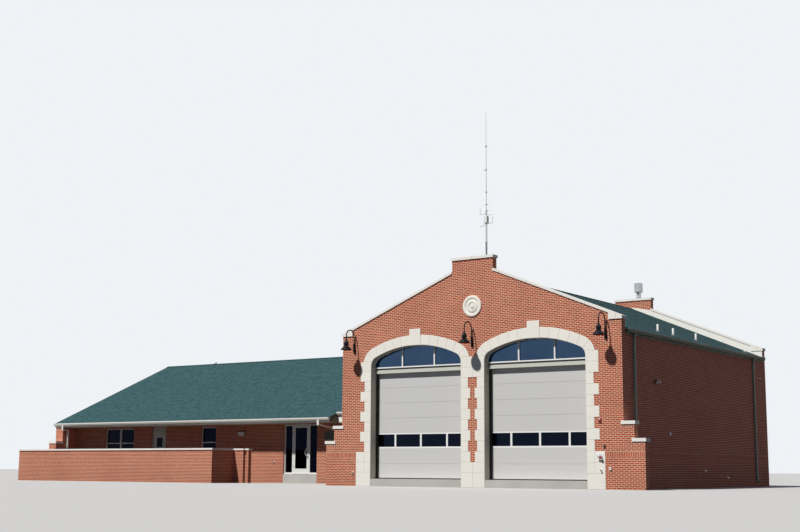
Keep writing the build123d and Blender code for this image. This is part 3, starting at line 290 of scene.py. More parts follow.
def arch_point(lean, offset):
    """A point of the arch, offset from the opening's edge, at an angle from the crown."""
    if lean < haunch_lean:
        reach = crown_r + offset
        return reach * sin(lean), crown_z - crown_r + reach * cos(lean)
    reach = haunch_r + offset
    return door_half - haunch_r + reach * sin(lean), haunch_z + reach * cos(lean)


def arch_run(start, end, offset):
    return [arch_point(start + (end - start) * n / arch_steps, offset) for n in range(arch_steps + 1)]


def inset(points, gap):
    """The outline drawn in by gap on every side. Points run anticlockwise."""
    result = []
    for n, here in enumerate(points):
        before, after = Vector(points[n - 1]), Vector(points[(n + 1) % len(points)])
        here = Vector(here)
        a, b = (here - before).normalized(), (after - here).normalized()
        normal_a, normal_b = Vector((-a.y, a.x)), Vector((-b.y, b.x))
        middle = normal_a + normal_b
        result.append(here + middle * (gap / (1 + normal_a.dot(normal_b))))
    return result


def skin(mesh, rings):
    """Side faces from each ring of corners to the next, and a face on each end."""
    for low, high in zip(rings, rings[1:]):
        for n in range(len(low)):
            m = (n + 1) % len(low)
            mesh.faces.new((low[n], low[m], high[m], high[n]))
    mesh.faces.new(rings[0][::-1])
    mesh.faces.new(rings[-1])


def add_stone(mesh, outline, front, back, gap=joint_gap / 2, ease=0.004):
    """One block: its face drawn in at the front edge to ease the arris."""
    if sum(a[0] * b[1] - b[0] * a[1] for a, b in zip(outline, outline[1:] + outline[:1])) < 0:
        outline = outline[::-1]
    rings = []
    for y, shrink in ((back, gap), (front + ease, gap), (front, gap + ease)):
        rings.append([mesh.verts.new((p.x, y, p.y)) for p in inset(outline, shrink)])
    skin(mesh, rings)


def keep_mesh(mesh, name, finish, slot, *stands_for, flat=False):
    """The finished piece, riding on the building, with the nodes that it replaces. Its slot is not used."""
    bmesh.ops.recalc_face_normals(mesh, faces=mesh.faces)
    data = bpy.data.meshes.new(name)
    mesh.to_mesh(data)
    mesh.free()
    if not flat:
        data.shade_smooth()
        data.set_sharp_from_angle(angle=crease)
    piece = put(name, data)
    data.materials.append(finish.material)
    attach(piece, "building")
    if stands_for:
        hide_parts(*stands_for)


def toned(colour, share, lift=0.0):
    return tuple(c * share + lift for c in colour)


def stone_finish(name, colour, stones):
    """Cast stone, with a tone of its own for each stone that the given rule tells apart."""
    made = Finish(name, 0.8, gloss=0.25)
    sand = made.noise(160.0, 2.0)
    cloud = made.noise(1.6, 4.0)
    stone, joint = stones(made)
    base = made.mix((cloud - 0.4) * 0.5, colour, toned(colour, 0.88))
    base = made.mix(stone * 0.14, base, toned(colour, 0.80))
    base = made.mix((sand - 0.5) * 0.3, base, pale_sand)
    base = made.mix(joint, base, coping_mortar)
    made.give(base_color=base)
    made.bump(sand * 0.5 - joint, 0.4, 0.004)
    return made


def stone_by_stone(made):
    return made.node("NewGeometry").output("Random Per Island"), 0.0


crease, bed_back = radians(35), 0.005
cream, pale_sand, coping_mortar = (0.88, 0.86, 0.79), (0.95, 0.93, 0.88), (0.50, 0.46, 0.39)
quoin_stone = stone_finish("quoin_stone", cream, stone_by_stone)
bed_mortar = Finish("bed_mortar", 0.9)
bed_mortar.mottle(60.0, (0.42, 0.38, 0.32), (0.54, 0.49, 0.42))
surround, bedding = bmesh.new(), bmesh.new()


def lay_stone(outline):
    """One stone in both halves of the front, with its mortar a little behind its face."""
    for side in (-1, 1):
        placed = [(side * x, z) for x, z in outline]
        add_stone(surround, placed, face_y, back_y)
        add_stone(bedding, placed, face_y + bed_back, back_y - 0.003, 0.0, 0.0005)


def bed_heights(k):
    """The foot and head of the k-th quoin. The base stone is -1."""
    return first_joint + k * quoin if k >= 0 else 0.0, first_joint + (k + 1) * quoin


jamb_in, base_split = door_x + door_half, 0.319
tooth = [0.725, 0.725] + [0.319, 0.522] * 3 + [0.319, 0.522, 0.522]
haunch_end = acos((ring_foot - haunch_z) / haunch_r)
haunch_foot = arch_run(haunch_end, pi / 2, 0.0)
for k in range(-1, quoin_count):
    low, high = bed_heights(k)
    edge = jamb_in + tooth[max(k, 0)]
    inner = [(jamb_in, high)]
    if k == quoin_count - 1:
        inner = [(door_x + x, z) for x, z in haunch_foot]
    if k in (0, 1):
        seam = jamb_in + base_split
        lay_stone([(jamb_in, low), (seam, low), (seam, high)] + inner)
        lay_stone([(seam, low), (edge, low), (edge, high), (seam, high)])
    else:
        lay_stone([(jamb_in, low), (edge, low), (edge, high)] + inner)
pier_half = door_x - door_half
inlay = [0.0] + [0.1, 0.2] * 4 + [0.0, 0.0]
for k in range(-1, quoin_count):
    low, high = bed_heights(k)
    inner = inlay[max(k, 0)]
    outer = [(pier_half, high)]
    if k == quoin_count - 1:
        outer = [(door_x - x, z) for x, z in haunch_foot[::-1]]
    lay_stone([(inner, low), (pier_half, low)] + outer + [(inner, high)])


# The arches. Six stones on each side of the keystone follow the three-centred curve, and the last
# of them sits on the level bed where the jamb ends.
voussoir_count, outer_crown_end, key_play = 6, 0.267, 0.006
ring_outer = crown_r + ring_t
key_lean = asin(outer_crown_end / ring_outer)
outer_end = acos((ring_foot - haunch_z) / (haunch_r + ring_t))
crown_arc = (haunch_lean - key_lean) * ring_outer
haunch_arc = (outer_end - haunch_lean) * (haunch_r + ring_t)


def lean_at(run):
    """The angle from the crown after a run along the outer curve from the keystone."""
    if run < crown_arc:
        return key_lean + run / ring_outer
    return haunch_lean + (run - crown_arc) / (haunch_r + ring_t)


for n in range(voussoir_count):
    start = lean_at((crown_arc + haunch_arc) * n / voussoir_count)
    end = lean_at((crown_arc + haunch_arc) * (n + 1) / voussoir_count)
    last = n == voussoir_count - 1
    outer = arch_run(start, outer_end if last else end, ring_t)
    inner = arch_run(haunch_end if last else end, start, 0.0)
    if n == 0:
        inner[-1] = (outer_crown_end - key_play, inner[-1][1])
    for hand in (-1, 1):
        ring = [(door_x + hand * x, z) for x, z in outer + inner]
        lay_stone([(max(x, 0.0), z) for x, z in ring])
keep_mesh(bedding, "stone_bedding", bed_mortar, "cast_stone", flat=True)
keep_mesh(surround, "door_surround_stones", quoin_stone, "cast_stone", "jamb_stones", "pier_stones",
          "arch_stones", flat=True)


# The keystones and the copings. They are the same cast stone; the copings come in lengths of about
# four feet with a mortar line between.
coping_length, coping_gap = 1.22, 0.006
coping_cream = (0.86, 0.84, 0.79)


def coping_stones(made):
    """A random value for each length of coping, and its mortar lines."""
    run = made.along / coping_length
    place = run.math("FRACT")
    line = 1 - place.within(coping_gap, 1 - coping_gap)
    return made.chance(run.math("FLOOR")), line * (1 - made.side_on)


plain_stone = stone_finish("plain_stone", cream, lambda made: (made.noise(0.8, 1.0), 0.0))
coping_stone = stone_finish("coping_stone", coping_cream, coping_stones)
dress(plain_stone, "keystones")
dress(coping_stone, "front_coping", "rear_coping", "apex_caps", "step_caps", "patio_coping")


# The round ornament in the gable. It is one cast stone disc with a rolled rim, a raised ring and a
# boss, parted by two narrow grooves.
def turned(mesh, profile, place, tip=None, sides=48):
    """A round form from its radius at each height. An end that isn't a point is closed flat."""
    where = Matrix.Translation(place) @ (tip or Matrix())
    if profile[0][0]:
        profile = [(0.0, profile[0][1]), *profile]
    if profile[-1][0]:
        profile = [*profile, (0.0, profile[-1][1])]
    rings = []
    for radius, height in profile:
        spots = sides if radius else 1
        turns = [2 * pi * n / sides for n in range(spots)]
        points = [Vector((radius * cos(a), radius * sin(a), height)) for a in turns]
        rings.append([mesh.verts.new(where @ point) for point in points])
    for low, high in zip(rings, rings[1:]):
        for n in range(sides):
            m = (n + 1) % sides
            corners = (low[n % len(low)], low[m % len(low)], high[m % len(high)], high[n % len(high)])
            mesh.faces.new(list(dict.fromkeys(corners)))


out_of_front = Matrix.Rotation(pi / 2, 4, "X")
ornament_r, ornament_z, ornament_proud, groove_back = 0.420, 7.000, 0.045, 0.014
ornament_rings = [
    (1.0, -0.089), (1.0, 0.55), (0.985, 0.85), (0.95, 1.0), (0.74, 1.0), (0.71, 0.85), (0.70, 0.6),
    (0.69, None), (0.62, None), (0.61, 0.6), (0.60, 0.85), (0.57, 1.0), (0.36, 1.0), (0.34, 0.85),
    (0.33, 0.6), (0.32, None), (0.27, None), (0.26, 0.6), (0.245, 0.85), (0.22, 1.0), (0.10, 1.0),
]
ornament_profile = []
for radius, rise in ornament_rings:
    height = groove_back if rise is None else rise if rise < 0 else rise * ornament_proud
    ornament_profile.append((radius * ornament_r, height))
ornament = bmesh.new()
turned(ornament, ornament_profile, (0, brick_y, ornament_z), out_of_front, 72)
keep_mesh(ornament, "round_ornament", plain_stone, "cast_stone", "medallion")


# The roofs. Dark green laminated shingles lie in courses up both slopes, each course a thin sheet
# that laps the one below. Random tabs are glued on the courses, and caps close the ridges.
class Rule(Tree):
    """A geometry rule for things that repeat. Its sizes come in by name through the group's sockets."""

    prefix = "GeometryNode"

    def __init__(self, name, **numbers):
        self.group = bpy.data.node_groups.new(name, "GeometryNodeTree")
        super().__init__(self.group)
        add = self.group.interface.new_socket
        add("Geometry", in_out="INPUT", socket_type="NodeSocketGeometry")
        for key, value in numbers.items():
            add(key, in_out="INPUT", socket_type="NodeSocketFloat").default_value = value
        add("finish", in_out="INPUT", socket_type="NodeSocketMaterial")
        add("Geometry", in_out="OUTPUT", socket_type="NodeSocketGeometry")
        self.given = self.node("NodeGroupInput")
        run = self.node("InputNamedAttribute", {"Name": "run"}, data_type="FLOAT")
        self.by_run = self.vector(run, 1.0, 1.0)

    def sheet(self, x, y, z, shift=(0.0, 0.0, 0.0)):
        """A flat box of the given sizes, moved by shift."""
        made = self.node("MeshCube", {"Size": self.vector(x, y, z)})
        return self.node("Transform", {"Geometry": made, "Translation": shift})

    def on_points(self, piece, turn, scale):
        """The piece once on each point, made real, with the finish laid on."""
        placed = self.node("InstanceOnPoints", {"Points": self.given, "Instance": piece, "Rotation": turn,
                                                "Scale": scale})
        solid = self.node("RealizeInstances", (placed,))
        coated = self.node("SetMaterial", {"Geometry": solid, "Material": self.given.output("finish")})
        self.node("NodeGroupOutput", (coated,))
        return self.group


def grow(name, points, group, values, finish, runs=()):
    """Runs a geometry rule on a set of points and keeps the result as a plain mesh."""
    data = bpy.data.meshes.new(name)
    data.from_pydata(points, [], [])
    if runs:
        data.attributes.new("run", "FLOAT", "POINT").data.foreach_set("value", runs)
    holder = put(name, data)
    modifier = holder.modifiers.new("rule", "NODES")
    modifier.node_group = group
    sockets = {item.name: item.identifier for item in group.interface.items_tree if item.in_out == "INPUT"}
    for key, value in {**values, "finish": finish.material}.items():
        modifier[sockets[key]] = value
    bpy.context.view_layer.update()
    seen = holder.evaluated_get(bpy.context.evaluated_depsgraph_get())
    result = bpy.data.meshes.new_from_object(seen)
    holder.modifiers.clear()
    holder.data = result
    result.name = name
    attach(holder, "building")


class Slope:
    """How far each course of shingles steps in and up on a roof of the given rise."""

    def __init__(self, rise, along, name, depth):
        self.angle = atan(rise / pitch_run)
        self.up, self.inward = exposure * sin(self.angle), exposure * cos(self.angle)
        self.finish = self.shingle(name, along, depth)

    def shingle(self, name, along, depth):
        """Granules in dark green and grey, with a tone for each tab of each course. Every colour is scaled
        by depth, and a depth below 1 is painted shade.
        """
        made = Finish(name, 0.95, gloss=0.12)
        course = (made.z / self.up).math("FLOOR")
        tab = (getattr(made, along) / patch_width + made.chance(course, 3.7)).math("FLOOR")
        tone = made.chance(tab, course)
        granule = made.noise(150.0, 2.0)
        patch = made.noise(0.35, 4.0)
        colour = made.mix(tone, *(toned(dye, depth) for dye in shingle_dyes))
        colour = made.mix((patch - 0.35) * 0.5, colour, toned(shingle_patch, depth))
        colour = made.mix((granule - 0.42) * 0.6, colour, toned(shingle_grain, depth))
        at_verge = made.x < verge_x
        edge = (made.facing[0].math("ABSOLUTE") > 0.9) * (at_verge + made.x.within(*cut_ends))
        under = made.facing[2] < -0.5
        verge = made.mix(at_verge, olive_edge, verge_white)
        colour = made.mix(edge, colour, verge)
        made.give(base_color=made.mix(under, colour, deck_white))
        made.bump((granule + tone * 0.6) * (1 - edge), 0.5, 0.004)
        return made


pitch_run, bay_rise, wing_rise = 0.3048, 0.127, 0.133
exposure, shingle_butt, tab_width = 0.143, 0.008, 0.320
patch_width, lap, lift_off = 0.125, 0.022, 0.0045
shingle_dyes = (0.021, 0.063, 0.070), (0.046, 0.102, 0.110)
shingle_patch, shingle_grain, olive_edge = (0.030, 0.078, 0.086), (0.10, 0.18, 0.19), (0.10, 0.095, 0.06)
verge_white, deck_white = (0.74, 0.75, 0.72), (0.66, 0.67, 0.64)
verge_x, cut_ends = -29.585, (-10.66, -10.60)
# The bay's shingles take 0.75 of the wing's colours. This is painted shade for the low light that grazes the
# bay roof.
bay_slope = Slope(bay_rise, "y", "bay_shingle", 0.75)
wing_slope = Slope(wing_rise, "x", "wing_shingle", 1.0)
dress(bay_slope.finish, "bay_roof_right", "bay_roof_left")
dress(wing_slope.finish, "wing_roof_front", "wing_roof_rear")

course_rule = Rule("shingle_courses", depth=exposure + lap, thickness=shingle_butt, slope=0.4, turn=0.0)
course_in = course_rule.given.output
course_sheet = course_rule.sheet(1.0, course_in("depth"), course_in("thickness"),
                                 course_rule.vector(0.5, course_in("depth") * 0.5, 0.0))
course_turn = course_rule.vector(course_in("slope") - shingle_butt / exposure * 0.5, 0.0, course_in("turn"))
courses = course_rule.on_points(course_sheet, course_turn, course_rule.by_run)

bay_eave_z, bay_half, bay_front_y, bay_rear_y = 5.825, 6.320, 0.130, 14.740
bay_ridge_z = bay_eave_z + bay_half * tan(bay_slope.angle)
eave_z, eave_y, rear_eave_y, cut_y = 3.050, 4.515, 21.325, 5.130
wing_left, cut_x, saddle_x, parapet_end_x = -29.603, -10.630, -6.322, -6.360
rear_face_y, rear_corner_x, parapet_y, cut_slack, cut_lip = 15.093, -6.245, 14.717, 0.03, 0.008
wing_ridge_y = (eave_y + rear_eave_y) / 2
wing_ridge_z = eave_z + (wing_ridge_y - eave_y) * tan(wing_slope.angle)


def bay_course(hand, n):
    """Where the n-th course of a bay slope starts, and its length."""
    at = (hand * (bay_half - n * bay_slope.inward), bay_front_y if hand > 0 else bay_rear_y,
          bay_eave_z + n * bay_slope.up + lift_off)
    return at, bay_rear_y - bay_front_y


def wing_course(front, n):
    """The same for the wing, whose courses end at the cut, at the bay or in the valley."""
    in_y, z = n * wing_slope.inward, eave_z + n * wing_slope.up
    y = eave_y + in_y if front else rear_eave_y - in_y
    end = saddle_x
    if front and y < cut_y - cut_slack:
        end = cut_x
    elif not front and y > rear_face_y + wing_slope.inward:
        end = rear_corner_x
    elif not front and y > parapet_y:
        end = parapet_end_x
    elif z > bay_eave_z:
        end = -bay_half + (z - bay_eave_z) / tan(bay_slope.angle)
    return (wing_left if front else end, y, z + lift_off), end - wing_left


bay_rows = int(bay_half / bay_slope.inward)
wing_rows = int((wing_ridge_y - eave_y) / wing_slope.inward)
lip_y = cut_y - cut_lip
cut_row = (cut_x, lip_y, eave_z + (lip_y - eave_y) * tan(wing_slope.angle) + lift_off)
slopes = (
    ("bay_shingles_right", [bay_course(1, n) for n in range(bay_rows)], pi / 2, bay_slope),
    ("bay_shingles_left", [bay_course(-1, n) for n in range(bay_rows)], -pi / 2, bay_slope),
    ("wing_shingles_front", [(cut_row, saddle_x - cut_x)] + [wing_course(True, n) for n in range(wing_rows)],
     0.0, wing_slope),
    ("wing_shingles_rear", [wing_course(False, n) for n in range(wing_rows)], pi, wing_slope),
)
luck = random.Random(41)
tab_thick, tab_share, tab_shift, tab_long = 0.004, 0.30, (0.02, 0.16), (0.15, 0.30)
for label, rows, heading, slope in slopes:
    starts, lengths = zip(*rows)
    values = {"turn": heading, "slope": slope.angle}
    grow(label, starts, courses, values, slope.finish, lengths)
    along = Vector((cos(heading), sin(heading), 0))
    tabs, widths = [], []
    for start, length in rows[:-1]:
        for cell in range(int(length / tab_width) - 1):
            if luck.random() < tab_share:
                shift = along * (cell * tab_width + luck.uniform(*tab_shift))
                tabs.append(Vector(start) + Vector((0, 0, shingle_butt * 0.62)) + shift)
                widths.append(luck.uniform(*tab_long))
    values.update(depth=exposure * 0.98, thickness=tab_thick)
    label = label.replace("shingles", "tabs")
    grow(label, tabs, courses, values, slope.finish, widths)

cap_step, cap_long, cap_leaf, cap_lift, cap_in, cap_tilt = 0.143, 0.205, 0.150, 0.022, 0.11, 0.04
wing_caps_end = -4.3
cap_rule = Rule("ridge_caps", slope=0.4, turn=0.0)
cap_leaves = cap_rule.node("JoinGeometry")
for hand in (-1, 1):
    leaf = cap_rule.sheet(cap_long, cap_leaf, shingle_butt, (0.0, cap_leaf * hand * 0.5, 0.0))
    tip = cap_rule.vector(cap_rule.given.output("slope") * -hand, 0.0, 0.0)
    leaf = cap_rule.node("Transform", {"Geometry": leaf, "Rotation": tip})
    cap_rule.links.new(leaf.socket, cap_leaves.socket.node.inputs[0])
cap_turn = cap_rule.vector(0.0, cap_tilt, cap_rule.given.output("turn"))
caps = cap_rule.on_points(cap_leaves, cap_turn, cap_rule.by_run)
bay_cap = Vector((0, bay_front_y + cap_in, bay_ridge_z + cap_lift))
wing_cap = Vector((wing_left + cap_in, wing_ridge_y, wing_ridge_z + cap_lift))
for label, first, length, heading, slope in (
    ("bay_ridge_caps", bay_cap, bay_rear_y - bay_front_y - 0.1, pi / 2, bay_slope),
    ("wing_ridge_caps", wing_cap, wing_caps_end - wing_left, 0.0, wing_slope),
):
    along = Vector((cos(heading), sin(heading), 0)) * cap_step
    spots = [first + along * n for n in range(int(length / cap_step))]
    widths = [luck.uniform(0.95, 1.0) for _ in spots]
    values = {"turn": heading, "slope": slope.angle}
    grow(label, spots, caps, values, slope.finish, widths)


# The gutters, downspouts and flashings. Folded sheet metal, olive on the bay and white on the wing,
# with a satin baked coat that has taken up a little dust.
def paint_finish(name, colour, roughness=0.45, dust=0.06, gloss=0.4):
    """Paint. Its colour stays at hand as made.coat, to be mixed with others."""
    made = Finish(name, roughness, gloss=gloss)
    cloud = made.noise(2.5, 4.0)
    speck = made.noise(90.0, 2.0)
    made.coat = made.mix((cloud - 0.35) * dust * 6, colour, toned(colour, 0.8, 0.02))
    made.give(base_color=made.coat, roughness=roughness + (speck - 0.5) * 0.2)
    made.bump(speck, 0.06, 0.001)
    return made


# Above a set height the bay gutters' top lip is painted a lighter olive. This is a painted highlight where
# light falls on the lip; below it the gutter keeps its olive coat.
olive_coat, painted_lip_highlight, painted_highlight_z = (0.10, 0.105, 0.070), (0.40, 0.45, 0.35), 5.772
olive_sheet_painted_highlight = paint_finish("olive_sheet_painted_highlight", olive_coat, gloss=0.1)
olive_sheet_painted_highlight.give(base_color=olive_sheet_painted_highlight.mix(olive_sheet_painted_highlight.z > painted_highlight_z, olive_sheet_painted_highlight.coat, painted_lip_highlight))
dress(paint_finish("white_sheet", (0.88, 0.88, 0.82)),
      "wing_gutters", "wing_downspouts", "parapet_flashing")
dress(olive_sheet_painted_highlight, "bay_gutters")
dress(paint_finish("olive_pipe", (0.33, 0.36, 0.31), gloss=0.1), "bay_downspouts")


# The boxed eaves. A painted fascia behind the gutter and a soffit of narrow tongued boards that run
# across the eave. The end over the entrance is closed by an olive sheet.
board_w, board_gap, cut_sheet = 0.1524, 0.004, 0.034
eave_paint = paint_finish("eave_paint", (0.86, 0.90, 0.82), 0.6)
board_run = (eave_paint.x / board_w).math("FRACT") * board_w
board_line = (board_run < board_gap) * (eave_paint.facing[2] < -0.5)
at_cut = eave_paint.x.within(cut_x - cut_sheet, cut_x + 0.002) * (eave_paint.facing[0] > 0.5)
eave_tone = eave_paint.mix(board_line, eave_paint.coat, (0.25, 0.25, 0.23))
eave_paint.give(base_color=eave_paint.mix(at_cut, eave_tone, olive_edge))
eave_paint.bump(board_line * -1.0, 0.6, 0.004)
dress(eave_paint, "eave_trim")


# The engine doors. Insulated steel sections in light grey, with shallow ribs pressed along them, a
# rubber foot, and a glazed section of four tinted panes in white frames.
rib_pitch, strip_pitch, foot_rubber_z = 0.0508, 0.012, 0.345
door_steel = paint_finish("door_steel", (0.60, 0.605, 0.60), 0.5, 0.03)
grain = door_steel.noise(260.0, 2.0)
door_steel.bump(door_steel.z.waves(rib_pitch) * 0.4 + grain * 0.3, 0.10, 0.001)
foot_rubber = door_steel.z < foot_rubber_z
door_steel.give(base_color=door_steel.mix(foot_rubber, door_steel.coat, (0.03, 0.03, 0.03)))
dress(door_steel, "overhead_door_left", "overhead_door_right")
dress(paint_finish("white_coat", (0.86, 0.87, 0.86), 0.4),
      "glazed_sections", "transom_frames", "window_frames")
dress(paint_finish("header_coat", (0.60, 0.61, 0.55), 0.5), "door_headers")
strip_rubber = Finish("strip_rubber", 0.7, gloss=0.2)
strip_rubber.mottle(30.0, (0.016, 0.017, 0.014), (0.034, 0.035, 0.030))
strip_rubber.bump(strip_rubber.x.waves(strip_pitch), 0.3, 0.002)
dress(strip_rubber, "door_seals")


# The glass. Tinted panes in the engine doors and the wing, nearly black from outside, and sheets in
# the transoms whose blue is a painted reflection of blue sky, all a little wavy and dusty.
def glass_finish(name, low, high, gloss):
    made = Finish(name, 0.05, 1.0, gloss)
    wave_and_painted_reflection = made.noise(0.7, 2.0)
    dust = made.noise(14.0, 4.0)
    # One large noise makes the glass a little wavy in its bump. In its colour, the same noise paints patches
    # of reflection.
    made.give(base_color=made.mix(wave_and_painted_reflection, low, high), roughness=0.04 + dust * 0.06)
    made.bump(wave_and_painted_reflection, 0.03, 0.01)
    return made


dress(glass_finish("pane_glass", (0.005, 0.008, 0.015), (0.009, 0.013, 0.025), 0.07), "door_panes")
dress(glass_finish("entry_glass", (0.001, 0.002, 0.005), (0.003, 0.004, 0.009), 0.05), "window_glass",
      "entrance_door_glass", "service_door_glass")
# The transoms' blue tints their mirror-like reflection of the white surroundings. It is a painted reflection
# of blue sky.
dress(glass_finish("transom_glass", (0.026, 0.054, 0.106), (0.052, 0.092, 0.160), 0.35), "transom_glass")


# The lamps over the engine doors. A wall plate, a post and a bent gooseneck carry a spun bell shade
# with its round head, all in black enamel, and a frosted bulb sits up inside the bell.
def tube(mesh, points, radius, sides=12):
    """A round bar along a run of points, closed at both ends."""
    points = [Vector(p) for p in points]
    turns = [2 * pi * m / sides for m in range(sides)]
    rings = []
    for n, here in enumerate(points):
        run = (points[min(n + 1, len(points) - 1)] - points[max(n - 1, 0)]).normalized()
        side = run.cross(Vector((1, 0, 0)) if abs(run.x) < 0.9 else Vector((0, 0, 1))).normalized()
        other = run.cross(side)
        rings.append([mesh.verts.new(here + (side * cos(a) + other * sin(a)) * radius)
                      for a in turns])
    skin(mesh, rings)


def plate(mesh, low, high, ease=0.003, tip=None):
    """A box between two corners with eased edges, moved by tip where one is given."""
    low, high, before = Vector(low), Vector(high), len(mesh.verts)
    made = bmesh.ops.create_cube(mesh, size=1.0)
    bmesh.ops.scale(mesh, vec=high - low, verts=made["verts"])
    bmesh.ops.translate(mesh, vec=(low + high) / 2, verts=made["verts"])
    edges = list(dict.fromkeys(edge for vert in made["verts"] for edge in vert.link_edges))
    bmesh.ops.bevel(mesh, geom=edges, offset=ease, segments=1, affect="EDGES")
    if tip:
        mesh.verts.ensure_lookup_table()
        bmesh.ops.transform(mesh, matrix=tip, verts=mesh.verts[before:])


enamel = paint_finish("enamel", (0.005, 0.006, 0.010), 0.35, 0.02, 0.12)
bulb_glass = paint_finish("bulb_glass", (0.80, 0.80, 0.76), 0.25)
shade_outside = [
    (0.223, 5.512), (0.225, 5.520), (0.224, 5.528), (0.219, 5.541), (0.203, 5.562), (0.176, 5.590),
    (0.145, 5.618), (0.116, 5.645), (0.094, 5.668), (0.086, 5.680), (0.092, 5.684), (0.092, 5.700),
    (0.086, 5.704), (0.097, 5.728), (0.101, 5.760), (0.097, 5.798), (0.084, 5.838), (0.064, 5.873),
    (0.044, 5.897), (0.038, 5.903), (0.038, 5.935), (0.030, 5.942),
]
shade_inside = [
    (0.0, 5.655), (0.040, 5.653), (0.080, 5.640), (0.104, 5.622), (0.140, 5.590), (0.174, 5.562),
    (0.205, 5.534), (0.215, 5.518), (0.219, 5.512),
]
bulb_profile = [
    (0.0, 5.537), (0.016, 5.540), (0.029, 5.550), (0.036, 5.566), (0.033, 5.584), (0.021, 5.604),
    (0.016, 5.618), (0.016, 5.652),
]
post_profile = [
    (0.030, 5.440), (0.037, 5.448), (0.037, 5.762), (0.044, 5.766), (0.044, 5.780), (0.028, 5.792),
]
lamp_places, arm_z, mount_half_x, mount_half_z = (-5.7, 0.0, 5.7), 5.478, 0.060, 0.075
post_y, shade_y, bow_r, bow_z, post_top, neck_z = -0.253, -0.785, 0.266, 6.085, 5.780, 5.938
bow_turns = [pi * n / 16 for n in range(17)]
lamp_body, bulbs = bmesh.new(), bmesh.new()
for lamp_x in lamp_places:
    plate(lamp_body, (lamp_x - mount_half_x, brick_y - 0.020, arm_z - mount_half_z),
          (lamp_x + mount_half_x, brick_y, arm_z + mount_half_z), 0.006)
    tube(lamp_body, [(lamp_x, brick_y - 0.003, arm_z), (lamp_x, post_y, arm_z)], 0.024)
    turned(lamp_body, post_profile, (lamp_x, post_y, 0), sides=20)
    bow = [(lamp_x, (post_y + shade_y) / 2 + bow_r * cos(a), bow_z + bow_r * sin(a))
           for a in bow_turns]
    tube(lamp_body, [(lamp_x, post_y, post_top), *bow, (lamp_x, shade_y, neck_z)], 0.0235)
    turned(lamp_body, shade_inside + shade_outside, (lamp_x, shade_y, 0), sides=36)
    turned(bulbs, bulb_profile, (lamp_x, shade_y, 0), sides=20)
keep_mesh(lamp_body, "gooseneck_lamp_bodies", enamel, "lamp_black", "gooseneck_lamps")
keep_mesh(bulbs, "lamp_bulbs", bulb_glass, "gutter_white")


# The flue and the vents. A bright spun flue with a tall ventilated cap stands on the rear apex, and
# white plastic pipes come up in lead boots, four through the right slope and one on the wing ridge.
seam_pitch, seam_share, flue_place = 0.30, 0.02, (0.25, 14.905, 0)
bright = Finish("bright_metal", 0.30, 0.9)
seam = (bright.z / seam_pitch).math("FRACT") < seam_share
bright_tone = bright.mix(bright.noise(2.5, 4.0), (0.34, 0.36, 0.38), (0.62, 0.64, 0.66))
bright.give(base_color=bright.mix(seam, bright_tone, (0.22, 0.23, 0.24)))
bright.give(roughness=0.25 + bright.noise(20.0) * 0.2)
flue_profile = [
    (0.168, 8.967), (0.168, 8.985), (0.150, 9.002), (0.112, 9.037), (0.110, 9.060), (0.110, 9.120),
    (0.116, 9.124), (0.116, 9.136), (0.110, 9.140), (0.110, 9.210), (0.118, 9.222), (0.165, 9.280),
    (0.196, 9.284), (0.204, 9.296), (0.210, 9.300), (0.210, 9.312), (0.205, 9.318), (0.205, 9.500),
    (0.209, 9.504), (0.209, 9.512), (0.205, 9.516), (0.205, 9.690), (0.210, 9.696), (0.210, 9.712),
    (0.200, 9.720), (0.120, 9.742), (0.060, 9.750),
]
flue_mesh = bmesh.new()
turned(flue_mesh, flue_profile, flue_place)
keep_mesh(flue_mesh, "flue_and_cap", bright, "flue_steel", "flue")
vent_plastic = paint_finish("vent_plastic", (0.83, 0.83, 0.80), 0.5)
lead = paint_finish("lead", (0.20, 0.21, 0.22), 0.7)
vents = (
    (5.629, 4.652, 0.30, 0.045), (5.760, 5.872, 0.30, 0.045), (5.760, 8.265, 0.30, 0.045),
    (5.982, 13.468, 0.11, 0.045), (-25.720, wing_ridge_y, 0.13, 0.060),
)
pipe_wall, pipe_depth = 0.006, 0.05
pipes, boots = bmesh.new(), bmesh.new()
lean = Matrix.Rotation(bay_slope.angle, 4, "Y")
for x, y, rise, radius in vents:
    on_bay = x > 0
    foot = bay_eave_z + (bay_half - x) * tan(bay_slope.angle) if on_bay else wing_ridge_z
    top, bore = foot + rise, radius - pipe_wall
    pipe = [(radius, foot - 0.02), (radius, top - 0.003), (radius - 0.002, top), (bore, top),
            (bore, top - pipe_depth)]
    turned(pipes, pipe, (x, y, 0), sides=20)
    boot = [(radius * 2.4, 0.004), (radius * 2.4, 0.018), (radius * 1.6, 0.024), (radius * 1.15, 0.060),
            (radius * 1.06, 0.066)]
    turned(boots, boot, (x, y, foot), lean if on_bay else None, sides=20)
keep_mesh(pipes, "vent_pipes", vent_plastic, "flue_steel", "roof_vents")
keep_mesh(boots, "vent_boots", lead, "flue_steel")


# The mast. A galvanized tube bolted through a saddle on the ridge, a long white rod held on it by
# clamps, and two short tilted arms with upright feelers round a small white box.
galvanized = Finish("galvanized", 0.55, 0.6)
galvanized.mottle(9.0, (0.22, 0.23, 0.23), (0.42, 0.43, 0.42), 4.0)
rod_white = paint_finish("rod_white", (0.80, 0.81, 0.79), 0.4)
mast_y, mast_foot, splice_z, rod_top = 0.915, bay_ridge_z - 0.03, 11.03, 15.08
clamps = ((13.65, 1), (12.67, -1), (11.75, 1), (11.24, 1), (10.99, 1))
arms, arm_half, feeler_x = ((-1, 10.83, 0.045), (1, 10.42, 0.060)), 0.29, 0.285
mast_box_half, mast_box_foot, mast_box_head = 0.075, 10.475, 10.775
metalwork, rod = bmesh.new(), bmesh.new()
tube_profile = [(0.038, mast_foot), (0.038, 9.65), (0.043, 9.66), (0.043, 9.74), (0.036, 9.75),
                (0.036, splice_z - 0.02), (0.028, splice_z)]
turned(metalwork, tube_profile, (0, mast_y, 0), sides=16)
